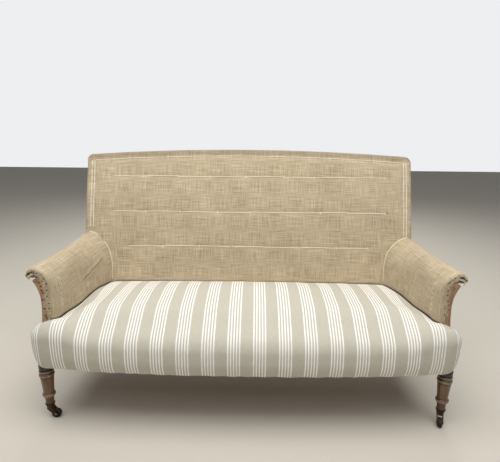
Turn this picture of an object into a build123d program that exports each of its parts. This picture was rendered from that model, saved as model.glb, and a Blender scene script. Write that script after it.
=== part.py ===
"""A low rolled-arm sofa on castors, part way through being upholstered.

Millimetres, +Z up. The front faces -Y, and the origin lies on the floor under the middle.
Left and right are as seen from the front.
"""

import os
from math import cos, pi, radians, sin, sqrt

from build123d import *

os.makedirs("parts", exist_ok=True)

# Overall sizes
SEAT_WIDTH = 1550
DEPTH = 726
BACK_INSET = 49
BACK_HIGH = 650
BACK_EDGE_HIGH = 623
BACK_CORNER = 26
RECLINE = 10

# Timber frame
LEG_HEIGHT = 224
BLOCK = 52
RAIL_HEIGHT = 92
RAIL_THICK = 32
FRONT_BOW = 28
STILE_WIDE = 40
STILE_DEEP = 34
BACK_RAIL_THICK = 24
TOP_RAIL_HIGH = 72
LOWER_RAIL_LOW = 64
LOWER_RAIL_HIGH = 38
UPRIGHT_WIDE = 46
UPRIGHT_SET_BACK = 2
FOOT_RAKE = 62
FOOT_SIZE = 27
ANKLE_HIGH = 92
EASED_EDGE = 2.5
CORNER_BLOCK_LEG = 70
CORNER_BLOCK_HIGH = 68

# Turned front legs, with the radius and the fall below the block at each turning point
LEG_BEADS = ((25, 17), (21.5, 20), (26, 26), (21, 32), (27, 40), (24.5, 48))
VASE_FOOT_RADIUS = 19
VASE_FLARE = 0.05
RING_RADIUS = 23.5
RING_RISE = 30
RING_LONG = 17
ANKLE_RADIUS = 16.4
LEG_TIP_RADIUS = 13

# Arms
ARM_SET_BACK = 20
ARM_FRONT_INSET = 87
ARM_BACK_INSET = 179
ARM_TIP_FRONT_INSET = -3
ARM_TIP_BACK_INSET = 53
ARM_RISE = 262
ARM_ROLL_DROP = 22
POST_DEEP = 30
POST_INSET = 71
POST_FOOT_WIDE = 46
POST_WAIST_WIDE = 27
POST_WAIST_RISE = 144
POST_TIP_WIDE = 50
POST_RISE = 234
ARM_RAIL_THICK = 28
ARM_RAIL_HIGH = 30
ARM_RAIL_BACK_INSET = 85
ARM_LOWER_RAIL_RISE = 26

# Stuffing and covers
COVER = 1.6
COVER_EASE = 0.4
SOFT_GAP = 0.8
STUFF_OVER = 18
SEAT_CORNER = 62
SEAT_RISE = 94
SEAT_BELLY_RISE = 26
SEAT_ROUND = 150
SEAT_RAKE = 5
SEAT_BACK_GAP = 18
BACK_SWELL = 118
BACK_TOP_THICK = 62
BACK_CROWN = 16
BACK_EDGE_ROLL = 18
JUNCTION_SHARE = 0.1
TIE_ROWS = (0.335, 0.57, 0.81)
TIE_RADIUS = 26
TIE_DEEP = 2.4
TIE_INSET = 105
ARM_SHOULDER_FRONT = 64
ARM_SHOULDER_BACK = 114
ARM_LEAN = 8
ARM_PAD_RISE = 14

# Webbing, linings and springs
WEB_WIDE = 50
WEB_THICK = 1.6
WEB_GAP = 0.4
LINING = 1.0
SEAT_WEB_COLUMNS = 13
SEAT_WEB_MARGIN = 151
SEAT_WEB_ROWS = 4
SEAT_WEB_ROW_PITCH = 130
SEAT_WEB_FRONT_MARGIN = 90
BACK_WEB_COLUMNS = 8
BACK_WEB_MARGIN = 201
BACK_WEB_ROWS = 3
BACK_WEB_DROP = 8
ARM_WEB_COUNT = 3
ARM_WEB_PITCH = 130
SPRING_COLUMNS = 6
SPRING_ROWS = 3
SPRING_HIGH = 136
SPRING_TURNS = 5
SPRING_RADIUS = 40
SPRING_WAIST = 27
WIRE_RADIUS = 1.9
WELL_MARGIN = 10

# Castors
WHEEL_RADIUS = 17.5
WHEEL_WIDE = 15
WHEEL_TRAIL = 21
WHEEL_EASE = 2.8
WHEEL_DISH = 2.1
WHEEL_DISH_RADIUS = 12.4
WHEEL_HUB_RADIUS = 6.2
AXLE_RADIUS = 2.6
AXLE_HEAD = 4
RUNNING_FIT = 0.05
CHEEK = 3.4
CHEEK_GAP = 0.6
HORN_CLEAR = 3.5
HORN_CROWN = 7
HORN_RADIUS = 13
HORN_NECK = 18.2
HORN_EYE_RADIUS = 6.6
SWIVEL_GAP = 0.3
PIVOT_RADIUS = 4
RIVET_HEAD = 6.5
RIVET_HIGH = 2.5
CUP_FLOOR = 4
CUP_HIGH = 15
CUP_WALL = 2.2
LEG_FIT = 0.2

# Heights and depths that follow from the sizes above
RAIL_TOP = LEG_HEIGHT + RAIL_HEIGHT
BACK_WIDTH = SEAT_WIDTH - 2 * BACK_INSET
ARM_INNER_FRONT = SEAT_WIDTH / 2 - ARM_FRONT_INSET
ARM_INNER_BACK = SEAT_WIDTH / 2 - ARM_BACK_INSET
ARM_TIP_FRONT = SEAT_WIDTH / 2 - ARM_TIP_FRONT_INSET
ARM_TIP_BACK = SEAT_WIDTH / 2 - ARM_TIP_BACK_INSET
POST_INNER = SEAT_WIDTH / 2 - POST_INSET
ARM_RAIL_BACK_INNER = SEAT_WIDTH / 2 - ARM_RAIL_BACK_INSET
SEAT_WEB_PITCH = (SEAT_WIDTH - 2 * SEAT_WEB_MARGIN) / (SEAT_WEB_COLUMNS - 1)
BACK_WEB_PITCH = (BACK_WIDTH - 2 * BACK_WEB_MARGIN) / (BACK_WEB_COLUMNS - 1)
FRAME_HALF = SEAT_WIDTH / 2 - STUFF_OVER
SEAT_FRONT = -DEPTH / 2
RAIL_FRONT = SEAT_FRONT + STUFF_OVER
BLOCK_FRONT = RAIL_FRONT + FRONT_BOW
BLOCK_BACK = BLOCK_FRONT + BLOCK
LEG_X = FRAME_HALF - BLOCK / 2
LEG_Y = BLOCK_FRONT + BLOCK / 2
LEAN = radians(RECLINE)
STILE_Y = DEPTH / 2 - BACK_HIGH * sin(LEAN) - STILE_DEEP * cos(LEAN)
STILE_OUT = BACK_WIDTH / 2 - COVER - COVER_EASE
STILE_IN = STILE_OUT - STILE_WIDE
FOOT_X = STILE_OUT - STILE_WIDE / 2
FOOT_Y = STILE_Y + STILE_DEEP / 2 + FOOT_RAKE
ARM_FRONT = LEG_Y + ARM_SET_BACK
ARM_TOP = RAIL_TOP + ARM_RISE
POST_TOP = RAIL_TOP + POST_RISE
SEAT_BACK = STILE_Y - SEAT_BACK_GAP
HORN_LOW = 2 * WHEEL_RADIUS + HORN_CLEAR
CUP_LOW = HORN_LOW + HORN_CROWN + SWIVEL_GAP
LEG_END = CUP_LOW + CUP_FLOOR + LEG_FIT
BACK_LAYERS = WEB_GAP / 2 + 2 * WEB_THICK + 2 * WEB_GAP + LINING
ARM_LAYERS = WEB_THICK + 2 * WEB_GAP + LINING

# The plane of the back frame's front face: X across, Y up the back, Z to the front
BACK_PLANE = Plane((0, STILE_Y, RAIL_TOP), x_dir=(1, 0, 0), z_dir=(0, -cos(LEAN), sin(LEAN)))
# The same place seen from the side: X up the back, Y to the front
BACK_SIDE = Plane((0, STILE_Y, RAIL_TOP), x_dir=(0, sin(LEAN), cos(LEAN)), z_dir=(1, 0, 0))
# The plane of the right arm frame's inner face: X to the front, Y up, Z inwards
ARM_RUN = Vector(POST_INNER - ARM_RAIL_BACK_INNER, ARM_FRONT + POST_DEEP - STILE_Y)
ARM_PLANE = Plane(
    (ARM_RAIL_BACK_INNER, STILE_Y, RAIL_TOP),
    x_dir=(ARM_RUN.X, ARM_RUN.Y, 0),
    z_dir=(ARM_RUN.Y, -ARM_RUN.X, 0),
)
ARM_LONG = ARM_RUN.length


def save(part, name):
    """Labels one finished piece and writes it."""
    part.label = name
    export_step(part, f"parts/{name}.step")


def save_pair(part, name):
    """Writes a right-hand piece and its mirror image."""
    save(part, f"{name}_right")
    save(mirror(part, about=Plane.YZ), f"{name}_left")


def upright_plane(y):
    """The plane across the sofa at a depth, X to the right and Y up."""
    return Plane((0, y, 0), x_dir=(1, 0, 0), z_dir=(0, -1, 0))


# Front legs, turned below a square block that the rails join
BEADS = [(radius, LEG_HEIGHT - fall) for radius, fall in LEG_BEADS]
CUP_TOP = CUP_LOW + CUP_HIGH
RING_LOW = CUP_TOP + RING_RISE
VASE_LOW = RING_LOW + RING_LONG
LEG_PLANE = Plane((LEG_X, LEG_Y, 0), x_dir=(1, 0, 0), z_dir=(0, -1, 0))

with BuildPart() as front_leg:
    with BuildSketch(LEG_PLANE):
        with BuildLine():
            head = Polyline((0, LEG_HEIGHT), (BEADS[0][0], LEG_HEIGHT), BEADS[0], BEADS[1])
            ring = ThreePointArc(head @ 1, (BEADS[2][0], (BEADS[1][1] + BEADS[3][1]) / 2), BEADS[3])
            bead = ThreePointArc(ring @ 1, (BEADS[4][0], (BEADS[3][1] + BEADS[5][1]) / 2), BEADS[5])
            TangentArc((VASE_FOOT_RADIUS, VASE_LOW), bead @ 1, tangent=(VASE_FLARE, 1))
            torus = ThreePointArc(
                (VASE_FOOT_RADIUS, VASE_LOW),
                (RING_RADIUS, (VASE_LOW + RING_LOW) / 2),
                (ANKLE_RADIUS, RING_LOW),
            )
            Polyline(
                torus @ 1,
                (ANKLE_RADIUS - CUP_WALL, CUP_TOP),
                (LEG_TIP_RADIUS, LEG_END),
                (0, LEG_END),
                (0, LEG_HEIGHT),
            )
        make_face()
    revolve(axis=Axis(LEG_PLANE.origin, (0, 0, 1)))
    with BuildSketch(Plane.XY.offset(LEG_HEIGHT)):
        with Locations((LEG_X, LEG_Y)):
            block = Rectangle(BLOCK, BLOCK)
        fillet(block.vertices().sort_by(Axis.X)[-2:].sort_by(Axis.Y)[0], SEAT_CORNER - STUFF_OVER)
    extrude(amount=RAIL_HEIGHT)
    with BuildSketch(Plane.XY.offset(LEG_END)):
        with Locations((LEG_X, LEG_Y)):
            Circle(RIVET_HEAD + LEG_FIT)
    extrude(amount=RIVET_HIGH, mode=Mode.SUBTRACT)
save_pair(front_leg.part, "front_leg")


# Back legs, each one plank that runs up as the stile of the back
STILE_LONG = BACK_EDGE_HIGH - COVER - COVER_EASE

with BuildPart() as back_leg:
    with BuildSketch(Plane.YZ.offset(STILE_IN)):
        with BuildLine():
            stile = Polyline(
                (STILE_Y, LEG_HEIGHT),
                (STILE_Y, RAIL_TOP),
                (STILE_Y + STILE_LONG * sin(LEAN), RAIL_TOP + STILE_LONG * cos(LEAN)),
                (
                    STILE_Y + STILE_LONG * sin(LEAN) + STILE_DEEP * cos(LEAN),
                    RAIL_TOP + STILE_LONG * cos(LEAN) - STILE_DEEP * sin(LEAN),
                ),
                (STILE_Y + STILE_DEEP, RAIL_TOP),
                (STILE_Y + STILE_DEEP, LEG_HEIGHT),
            )
            foot = Polyline(
                (FOOT_Y + FOOT_SIZE / 2, ANKLE_HIGH),
                (FOOT_Y + FOOT_SIZE / 2, LEG_END),
                (FOOT_Y - FOOT_SIZE / 2, LEG_END),
                (FOOT_Y - FOOT_SIZE / 2, ANKLE_HIGH),
            )
            for top, low in ((stile @ 1, foot @ 0), (stile @ 0, foot @ 1)):
                middle = (top + low) / 2
                TangentArc(top, middle, tangent=(0, -1))
                TangentArc(low, middle, tangent=(0, 1))
        make_face()
    extrude(amount=STILE_WIDE)
    with BuildSketch(upright_plane(FOOT_Y)):
        with BuildLine():
            Polyline(
                (STILE_OUT, RAIL_TOP + STILE_LONG),
                (STILE_OUT, LEG_HEIGHT),
                (FOOT_X + FOOT_SIZE / 2, ANKLE_HIGH),
                (FOOT_X + FOOT_SIZE / 2, 0),
                (FOOT_X - FOOT_SIZE / 2, 0),
                (FOOT_X - FOOT_SIZE / 2, ANKLE_HIGH),
                (STILE_IN, LEG_HEIGHT),
                (STILE_IN, RAIL_TOP + STILE_LONG),
                close=True,
            )
        make_face()
    extrude(amount=DEPTH, both=True, mode=Mode.INTERSECT)
    crest = back_leg.faces().sort_by(Axis.Z)[-1].edges().sort_by(Axis.X)[-1]
    fillet(crest, BACK_CORNER)
    with BuildSketch(Plane.XY.offset(LEG_END)):
        with Locations((FOOT_X, FOOT_Y)):
            Circle(RIVET_HEAD + LEG_FIT)
    extrude(amount=RIVET_HIGH, mode=Mode.SUBTRACT)
save_pair(back_leg.part, "back_leg")


# Seat rails
RAIL_HALF = LEG_X - BLOCK / 2

with BuildPart() as front_rail:
    with BuildSketch(Plane.XY.offset(LEG_HEIGHT)):
        with BuildLine():
            outer = ThreePointArc((-RAIL_HALF, BLOCK_FRONT), (0, RAIL_FRONT), (RAIL_HALF, BLOCK_FRONT))
            inner = ThreePointArc(
                (-RAIL_HALF, BLOCK_FRONT + RAIL_THICK),
                (0, RAIL_FRONT + RAIL_THICK),
                (RAIL_HALF, BLOCK_FRONT + RAIL_THICK),
            )
            Line(outer @ 0, inner @ 0)
            Line(outer @ 1, inner @ 1)
        make_face()
    extrude(amount=RAIL_HEIGHT)
save(front_rail.part, "front_seat_rail")

with BuildPart() as back_rail:
    with BuildSketch(Plane.XY.offset(LEG_HEIGHT)):
        with Locations((0, STILE_Y + RAIL_THICK / 2)):
            Rectangle(2 * STILE_IN, RAIL_THICK)
    extrude(amount=RAIL_HEIGHT)
    fillet(back_rail.edges().filter_by(Axis.X), EASED_EDGE)
save(back_rail.part, "back_seat_rail")

with BuildPart() as side_rail:
    with BuildSketch(Plane.XY.offset(LEG_HEIGHT)):
        with BuildLine():
            Polyline(
                (FRAME_HALF - RAIL_THICK, BLOCK_BACK),
                (FRAME_HALF, BLOCK_BACK),
                (STILE_OUT, STILE_Y),
                (STILE_OUT - RAIL_THICK, STILE_Y),
                close=True,
            )
        make_face()
    extrude(amount=RAIL_HEIGHT)
save_pair(side_rail.part, "side_seat_rail")


def side_rail_inner(y):
    """Where the right side rail's inner face lies at a depth."""
    share = (y - BLOCK_BACK) / (STILE_Y - BLOCK_BACK)
    return FRAME_HALF - RAIL_THICK + share * (STILE_OUT - FRAME_HALF)


# Corner blocks glued inside the seat frame
BLOCK_INNER = LEG_X - BLOCK / 2 - COVER_EASE
FRONT_CORNER = (
    (side_rail_inner(BLOCK_BACK) - COVER_EASE, BLOCK_BACK + COVER_EASE),
    (
        side_rail_inner(BLOCK_BACK + CORNER_BLOCK_LEG) - COVER_EASE,
        BLOCK_BACK + CORNER_BLOCK_LEG,
    ),
    (BLOCK_INNER - CORNER_BLOCK_LEG, BLOCK_FRONT + RAIL_THICK + COVER_EASE),
    (BLOCK_INNER, BLOCK_FRONT + RAIL_THICK + COVER_EASE),
    (BLOCK_INNER, BLOCK_BACK + COVER_EASE),
)
BACK_CORNER_Y = STILE_Y - COVER_EASE
REAR_CORNER = (
    (side_rail_inner(STILE_Y) - COVER_EASE, BACK_CORNER_Y),
    (side_rail_inner(STILE_Y) - COVER_EASE, BACK_CORNER_Y - CORNER_BLOCK_LEG),
    (side_rail_inner(STILE_Y) - CORNER_BLOCK_LEG, BACK_CORNER_Y),
)

with BuildPart() as corner_blocks:
    with BuildSketch(Plane.XY.offset(LEG_HEIGHT + (RAIL_HEIGHT - CORNER_BLOCK_HIGH) / 2)):
        for corner in (FRONT_CORNER, REAR_CORNER):
            with BuildLine():
                Polyline(*corner, close=True)
            make_face()
        mirror(about=Plane.YZ)
    extrude(amount=CORNER_BLOCK_HIGH)
save(corner_blocks.part, "corner_blocks")


# Back frame between the stiles
def back_arch(half, drop):
    """The arched top edge of the back at a half width, lowered by a drop."""
    bulge = BACK_HIGH - BACK_EDGE_HIGH
    ends = BACK_EDGE_HIGH + bulge * (1 - (half / (BACK_WIDTH / 2)) ** 2) - drop
    return ThreePointArc((-half, ends), (0, BACK_HIGH - drop), (half, ends))


TOP_RAIL_LOW = BACK_HIGH - TOP_RAIL_HIGH
LOWER_RAIL_TOP = LOWER_RAIL_LOW + LOWER_RAIL_HIGH

with BuildPart() as top_rail:
    with BuildSketch(BACK_PLANE.offset(-BACK_RAIL_THICK)):
        with BuildLine():
            arch = back_arch(STILE_IN, COVER + COVER_EASE)
            Polyline(arch @ 0, (-STILE_IN, TOP_RAIL_LOW), (STILE_IN, TOP_RAIL_LOW), arch @ 1)
        make_face()
    extrude(amount=BACK_RAIL_THICK)
save(top_rail.part, "top_back_rail")

with BuildPart() as lower_rail:
    with BuildSketch(BACK_PLANE.offset(-BACK_RAIL_THICK)):
        with Locations((0, LOWER_RAIL_LOW + LOWER_RAIL_HIGH / 2)):
            Rectangle(2 * STILE_IN, LOWER_RAIL_HIGH)
    extrude(amount=BACK_RAIL_THICK)
    fillet(lower_rail.edges().filter_by(Axis.X), EASED_EDGE)
save(lower_rail.part, "lower_back_rail")

with BuildPart() as upright:
    with BuildSketch(BACK_PLANE.offset(-BACK_RAIL_THICK)):
        with Locations((0, (LOWER_RAIL_TOP + TOP_RAIL_LOW) / 2)):
            Rectangle(UPRIGHT_WIDE, TOP_RAIL_LOW - LOWER_RAIL_TOP)
    extrude(amount=BACK_RAIL_THICK - UPRIGHT_SET_BACK)
save(upright.part, "centre_back_upright")


# Arm frames: a shaped post in front and two rails back to the stile
POST_TIP = (POST_INNER + POST_TIP_WIDE, POST_TOP - ARM_ROLL_DROP / 2)
POST_WAIST = (POST_INNER + POST_WAIST_WIDE, RAIL_TOP + POST_WAIST_RISE)

with BuildPart() as arm_post:
    with BuildSketch(upright_plane(ARM_FRONT)):
        with BuildLine():
            foot_line = Polyline(
                (POST_INNER + POST_FOOT_WIDE, RAIL_TOP),
                (POST_INNER, RAIL_TOP),
                (POST_INNER, POST_TOP - POST_WAIST_WIDE),
            )
            crown = TangentArc(foot_line @ 1, (POST_WAIST[0], POST_TOP), tangent=(0, 1))
            TangentArc(crown @ 1, POST_TIP, tangent=crown % 1)
            TangentArc(POST_WAIST, POST_TIP, tangent=(0, 1))
            TangentArc(POST_WAIST, foot_line @ 0, tangent=(0, -1))
        make_face()
    extrude(amount=-POST_DEEP)
    fillet(arm_post.faces().sort_by(Axis.Y)[0].edges().sort_by(Axis.X)[-2:], EASED_EDGE)
save_pair(arm_post.part, "arm_post")

ARM_TOP_RAIL_RISE = POST_RISE - ARM_RAIL_HIGH - EASED_EDGE
for rail_name, rise in (("arm_top_rail", ARM_TOP_RAIL_RISE), ("arm_lower_rail", ARM_LOWER_RAIL_RISE)):
    with BuildPart() as arm_rail:
        with BuildSketch(ARM_PLANE):
            with Locations((ARM_LONG / 2 - DEPTH / 4, rise + ARM_RAIL_HIGH / 2)):
                Rectangle(ARM_LONG + DEPTH / 2, ARM_RAIL_HIGH)
        extrude(amount=-ARM_RAIL_THICK)
        split(bisect_by=BACK_PLANE, keep=Keep.TOP)
        split(bisect_by=Plane.XZ.offset(-(ARM_FRONT + POST_DEEP)), keep=Keep.BOTTOM)
    save_pair(arm_rail.part, rail_name)


# Webbing, woven over and under
def web_outline(crossings, first_up, low_end, high_end):
    """The side outline of one strip that passes over and under the strips it crosses."""
    lift = (WEB_THICK + WEB_GAP) / 2
    flat = WEB_WIDE / 2 + WEB_GAP
    points = [(low_end, 0), (low_end + RAIL_THICK, 0)]
    for number, place in enumerate(crossings):
        height = lift if (number % 2 == 0) == first_up else -lift
        points += [(place - flat, height), (place + flat, height)]
    points += [(high_end - RAIL_THICK, 0), (high_end, 0)]
    upper = [(along, up + WEB_THICK / 2) for along, up in points]
    lower = [(along, up - WEB_THICK / 2) for along, up in reversed(points)]
    return upper + lower


def spread(count, pitch):
    """Evenly pitched places about the middle."""
    return [(number - (count - 1) / 2) * pitch for number in range(count)]


WEB_REST = WEB_THICK / 2 + WEB_GAP / 2
WEB_LIFT = WEB_THICK + WEB_GAP / 2
SEAT_WEB_Z = LEG_HEIGHT - WEB_REST
SEAT_COLUMN_X = spread(SEAT_WEB_COLUMNS, SEAT_WEB_PITCH)
SEAT_WEB_FIRST_ROW = BLOCK_FRONT + SEAT_WEB_FRONT_MARGIN
SEAT_ROW_Y = [SEAT_WEB_FIRST_ROW + row * SEAT_WEB_ROW_PITCH for row in range(SEAT_WEB_ROWS)]
FRONT_TACK = BLOCK_FRONT + WEB_GAP
BACK_TACK = STILE_Y + RAIL_THICK
SIDE_TACK = STILE_OUT - RAIL_THICK / 8

with BuildPart() as seat_webbing:
    for number, x in enumerate(SEAT_COLUMN_X):
        with BuildSketch(Plane((x, 0, SEAT_WEB_Z), x_dir=(0, 1, 0), z_dir=(1, 0, 0))):
            with BuildLine():
                Polyline(*web_outline(SEAT_ROW_Y, number % 2 == 0, FRONT_TACK, BACK_TACK), close=True)
            make_face()
        extrude(amount=WEB_WIDE / 2, both=True)
    for number, y in enumerate(SEAT_ROW_Y):
        with BuildSketch(Plane((0, y, SEAT_WEB_Z), x_dir=(1, 0, 0), z_dir=(0, -1, 0))):
            with BuildLine():
                Polyline(*web_outline(SEAT_COLUMN_X, number % 2 == 1, -SIDE_TACK, SIDE_TACK), close=True)
            make_face()
        extrude(amount=WEB_WIDE / 2, both=True)
save(seat_webbing.part, "seat_webbing")

BACK_COLUMN_X = spread(BACK_WEB_COLUMNS, BACK_WEB_PITCH)
BACK_WEB_SPAN = TOP_RAIL_LOW - LOWER_RAIL_TOP
BACK_ROW_UP = [
    LOWER_RAIL_TOP + BACK_WEB_SPAN * (row + 0.5) / BACK_WEB_ROWS - BACK_WEB_DROP
    for row in range(BACK_WEB_ROWS)
]
BACK_WEB_LOW = LOWER_RAIL_LOW + EASED_EDGE
BACK_WEB_TOP = BACK_EDGE_HIGH - BACK_CORNER

with BuildPart() as back_webbing:
    for number, x in enumerate(BACK_COLUMN_X):
        origin = Vector(BACK_PLANE.from_local_coords((x, 0, WEB_REST)))
        with BuildSketch(Plane(origin, x_dir=BACK_SIDE.x_dir, z_dir=BACK_SIDE.z_dir)):
            with BuildLine():
                Polyline(*web_outline(BACK_ROW_UP, number % 2 == 0, BACK_WEB_LOW, BACK_WEB_TOP), close=True)
            make_face()
        extrude(amount=WEB_WIDE / 2, both=True)
    for number, up in enumerate(BACK_ROW_UP):
        origin = Vector(BACK_PLANE.from_local_coords((0, up, WEB_REST)))
        with BuildSketch(Plane(origin, x_dir=(1, 0, 0), z_dir=-BACK_PLANE.y_dir)):
            with BuildLine():
                Polyline(*web_outline(BACK_COLUMN_X, number % 2 == 1, -STILE_OUT, STILE_OUT), close=True)
            make_face()
        extrude(amount=WEB_WIDE / 2, both=True)
save(back_webbing.part, "back_webbing")

ARM_WEB_RISE = ARM_TOP_RAIL_RISE + ARM_RAIL_HIGH - ARM_LOWER_RAIL_RISE
ARM_WEB_MIDDLE = ARM_LOWER_RAIL_RISE + ARM_WEB_RISE / 2

with BuildPart() as arm_webbing:
    with BuildSketch(ARM_PLANE.offset(WEB_GAP / 2)):
        with Locations((ARM_LONG / 2, ARM_WEB_MIDDLE)):
            with GridLocations(ARM_WEB_PITCH, 1, ARM_WEB_COUNT, 1):
                Rectangle(WEB_WIDE, ARM_WEB_RISE)
    extrude(amount=WEB_THICK)
save_pair(arm_webbing.part, "arm_webbing")


# Seat springs: double cones of one wire each, drawn in half turns of two tangent arcs
SPRING_LOW = LEG_HEIGHT - WEB_REST + WEB_LIFT + WEB_GAP
SPRING_TOP = SPRING_LOW + SPRING_HIGH
SPRING_PITCH = 2 * SEAT_WEB_PITCH


def spring_point(turn):
    """A point on the wire's middle line, counted in turns from the bottom."""
    share = turn / SPRING_TURNS
    radius = SPRING_WAIST + (SPRING_RADIUS - SPRING_WAIST) * abs(2 * share - 1) ** 2
    rise = (SPRING_HIGH - 2 * WIRE_RADIUS) * (share - sin(4 * pi * share) / (6 * pi))
    angle = 2 * pi * turn
    return Vector(radius * cos(angle), radius * sin(angle), SPRING_LOW + WIRE_RADIUS + rise)


def spring_heading(turn):
    """The wire's direction at a point."""
    step = 0.0005
    return (spring_point(turn + step) - spring_point(turn - step)).normalized()


def biarc_joint(start, start_heading, end, end_heading):
    """Where two tangent arcs of equal reach meet between two headed points."""
    gap = end - start
    both = start_heading + end_heading
    spread_of = 2 * (1 - start_heading.dot(end_heading))
    along = gap.dot(both)
    reach = (-along + sqrt(along * along + spread_of * gap.dot(gap))) / spread_of
    return (start + end + (start_heading - end_heading) * reach) / 2


with BuildPart() as spring:
    with BuildLine() as wire:
        for half_turn in range(2 * SPRING_TURNS):
            start, end = half_turn / 2, (half_turn + 1) / 2
            ends = spring_point(start), spring_point(end)
            headings = spring_heading(start), spring_heading(end)
            joint = biarc_joint(ends[0], headings[0], ends[1], headings[1])
            first = TangentArc(ends[0], joint, tangent=headings[0])
            TangentArc(joint, ends[1], tangent=first % 1)
    with BuildSketch(Plane(spring_point(0), z_dir=spring_heading(0))):
        Circle(WIRE_RADIUS)
    sweep()

WIRE_STEPS = 48
wire_points = [spring_point(step / WIRE_STEPS) for step in range(SPRING_TURNS * WIRE_STEPS + 1)]
least_gap = min(
    (near - far).length - 2 * WIRE_RADIUS
    for number, near in enumerate(wire_points)
    for far in wire_points[number + WIRE_STEPS // 2 :]
)
print("least gap of a seat spring to itself:", round(least_gap, 2))

SPRING_PLACES = [
    (x, y) for y in SEAT_ROW_Y[:SPRING_ROWS] for x in spread(SPRING_COLUMNS, SPRING_PITCH)
]
with BuildPart() as seat_springs:
    with Locations(*SPRING_PLACES):
        add(spring.part)
save(seat_springs.part, "seat_springs")

# Castors, each a cup on the leg, a horn that swivels under it, an axle pin and a wheel
FORK_HALF = WHEEL_WIDE / 2 + CHEEK_GAP
FORK_OUT = FORK_HALF + CHEEK


def castor(name, x, y, heading, square):
    """One castor under a leg, its wheel trailing along a heading in degrees."""
    trail = Vector(cos(radians(heading)), sin(radians(heading)), 0)
    base = Plane((x, y, 0), x_dir=trail, z_dir=(0, 0, 1))
    side = Plane((x, y, 0), x_dir=trail, z_dir=-base.y_dir)
    ground = Plane((x, y, 0))

    with BuildPart() as cup:
        if square:
            for height, size in ((CUP_LOW, FOOT_SIZE), (CUP_TOP, FOOT_SIZE + CUP_WALL)):
                with BuildSketch(ground.offset(height)):
                    RectangleRounded(size + 2 * CUP_WALL, size + 2 * CUP_WALL, CUP_WALL)
            loft()
            with BuildSketch(ground.offset(CUP_LOW + CUP_FLOOR)):
                Rectangle(FOOT_SIZE + 2 * LEG_FIT, FOOT_SIZE + 2 * LEG_FIT)
            extrude(amount=CUP_HIGH, mode=Mode.SUBTRACT)
        else:
            with BuildSketch(side):
                with BuildLine():
                    Polyline(
                        (0, CUP_LOW),
                        (LEG_TIP_RADIUS + LEG_FIT, CUP_LOW),
                        (ANKLE_RADIUS, CUP_TOP - CUP_WALL),
                        (ANKLE_RADIUS + CUP_WALL / 2, CUP_TOP - CUP_WALL),
                        (ANKLE_RADIUS + CUP_WALL / 2, CUP_TOP),
                        (ANKLE_RADIUS - CUP_WALL + LEG_FIT, CUP_TOP),
                        (LEG_TIP_RADIUS + LEG_FIT, CUP_LOW + CUP_FLOOR),
                        (0, CUP_LOW + CUP_FLOOR),
                        close=True,
                    )
                make_face()
            revolve(axis=Axis(base.origin, (0, 0, 1)))
        with BuildSketch(ground.offset(CUP_LOW)):
            Circle(PIVOT_RADIUS + RUNNING_FIT)
        extrude(amount=CUP_FLOOR, mode=Mode.SUBTRACT)
    save(cup.part, f"castor_cup_{name}")

    with BuildPart() as horn:
        with BuildSketch(base.offset(HORN_LOW)):
            Circle(HORN_RADIUS)
        extrude(amount=HORN_CROWN)
        for sign in (1, -1):
            with BuildSketch(side.offset(sign * FORK_HALF)):
                with Locations((WHEEL_TRAIL, WHEEL_RADIUS)):
                    Circle(HORN_EYE_RADIUS)
                with Locations((0, HORN_LOW + HORN_CROWN / 2)):
                    Rectangle(HORN_NECK, HORN_CROWN)
                make_hull()
            extrude(amount=sign * CHEEK)
        with BuildSketch(side):
            with Locations((WHEEL_TRAIL, WHEEL_RADIUS)):
                Circle(AXLE_RADIUS + RUNNING_FIT)
        extrude(amount=FORK_OUT, both=True, mode=Mode.SUBTRACT)
        with BuildSketch(base.offset(HORN_LOW + HORN_CROWN)):
            Circle(PIVOT_RADIUS)
        extrude(amount=SWIVEL_GAP + CUP_FLOOR + LEG_FIT)
        with BuildSketch(base.offset(LEG_END)):
            Circle(RIVET_HEAD)
        extrude(amount=RIVET_HIGH - LEG_FIT)
    save(horn.part, f"castor_horn_{name}")

    with BuildPart() as axle:
        with BuildSketch(side):
            with Locations((WHEEL_TRAIL, WHEEL_RADIUS)):
                Circle(AXLE_RADIUS)
        extrude(amount=FORK_OUT + RUNNING_FIT, both=True)
        for sign in (1, -1):
            with BuildSketch(side.offset(sign * (FORK_OUT + RUNNING_FIT))):
                with Locations((WHEEL_TRAIL, WHEEL_RADIUS)):
                    Circle(AXLE_HEAD)
            extrude(amount=sign * AXLE_HEAD / 4)
    save(axle.part, f"castor_axle_{name}")

    with BuildPart() as wheel:
        with BuildSketch(side):
            with Locations((WHEEL_TRAIL, WHEEL_RADIUS)):
                Circle(WHEEL_RADIUS)
        extrude(amount=WHEEL_WIDE / 2, both=True)
        fillet(wheel.edges(), WHEEL_EASE)
        for sign in (1, -1):
            with BuildSketch(side.offset(sign * WHEEL_WIDE / 2)):
                with Locations((WHEEL_TRAIL, WHEEL_RADIUS)):
                    Circle(WHEEL_DISH_RADIUS)
                    Circle(WHEEL_HUB_RADIUS, mode=Mode.SUBTRACT)
            extrude(amount=-sign * WHEEL_DISH, mode=Mode.SUBTRACT)
        with BuildSketch(side):
            with Locations((WHEEL_TRAIL, WHEEL_RADIUS)):
                Circle(AXLE_RADIUS + RUNNING_FIT)
        extrude(amount=WHEEL_WIDE, both=True, mode=Mode.SUBTRACT)
    save(wheel.part, f"castor_wheel_{name}")


for name, side_sign, heading in (("front_left", -1, 0), ("front_right", 1, 252)):
    castor(name, side_sign * LEG_X, LEG_Y, heading, False)
for name, side_sign, heading in (("back_left", -1, 60), ("back_right", 1, 160)):
    castor(name, side_sign * FOOT_X, FOOT_Y, heading, True)


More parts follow.
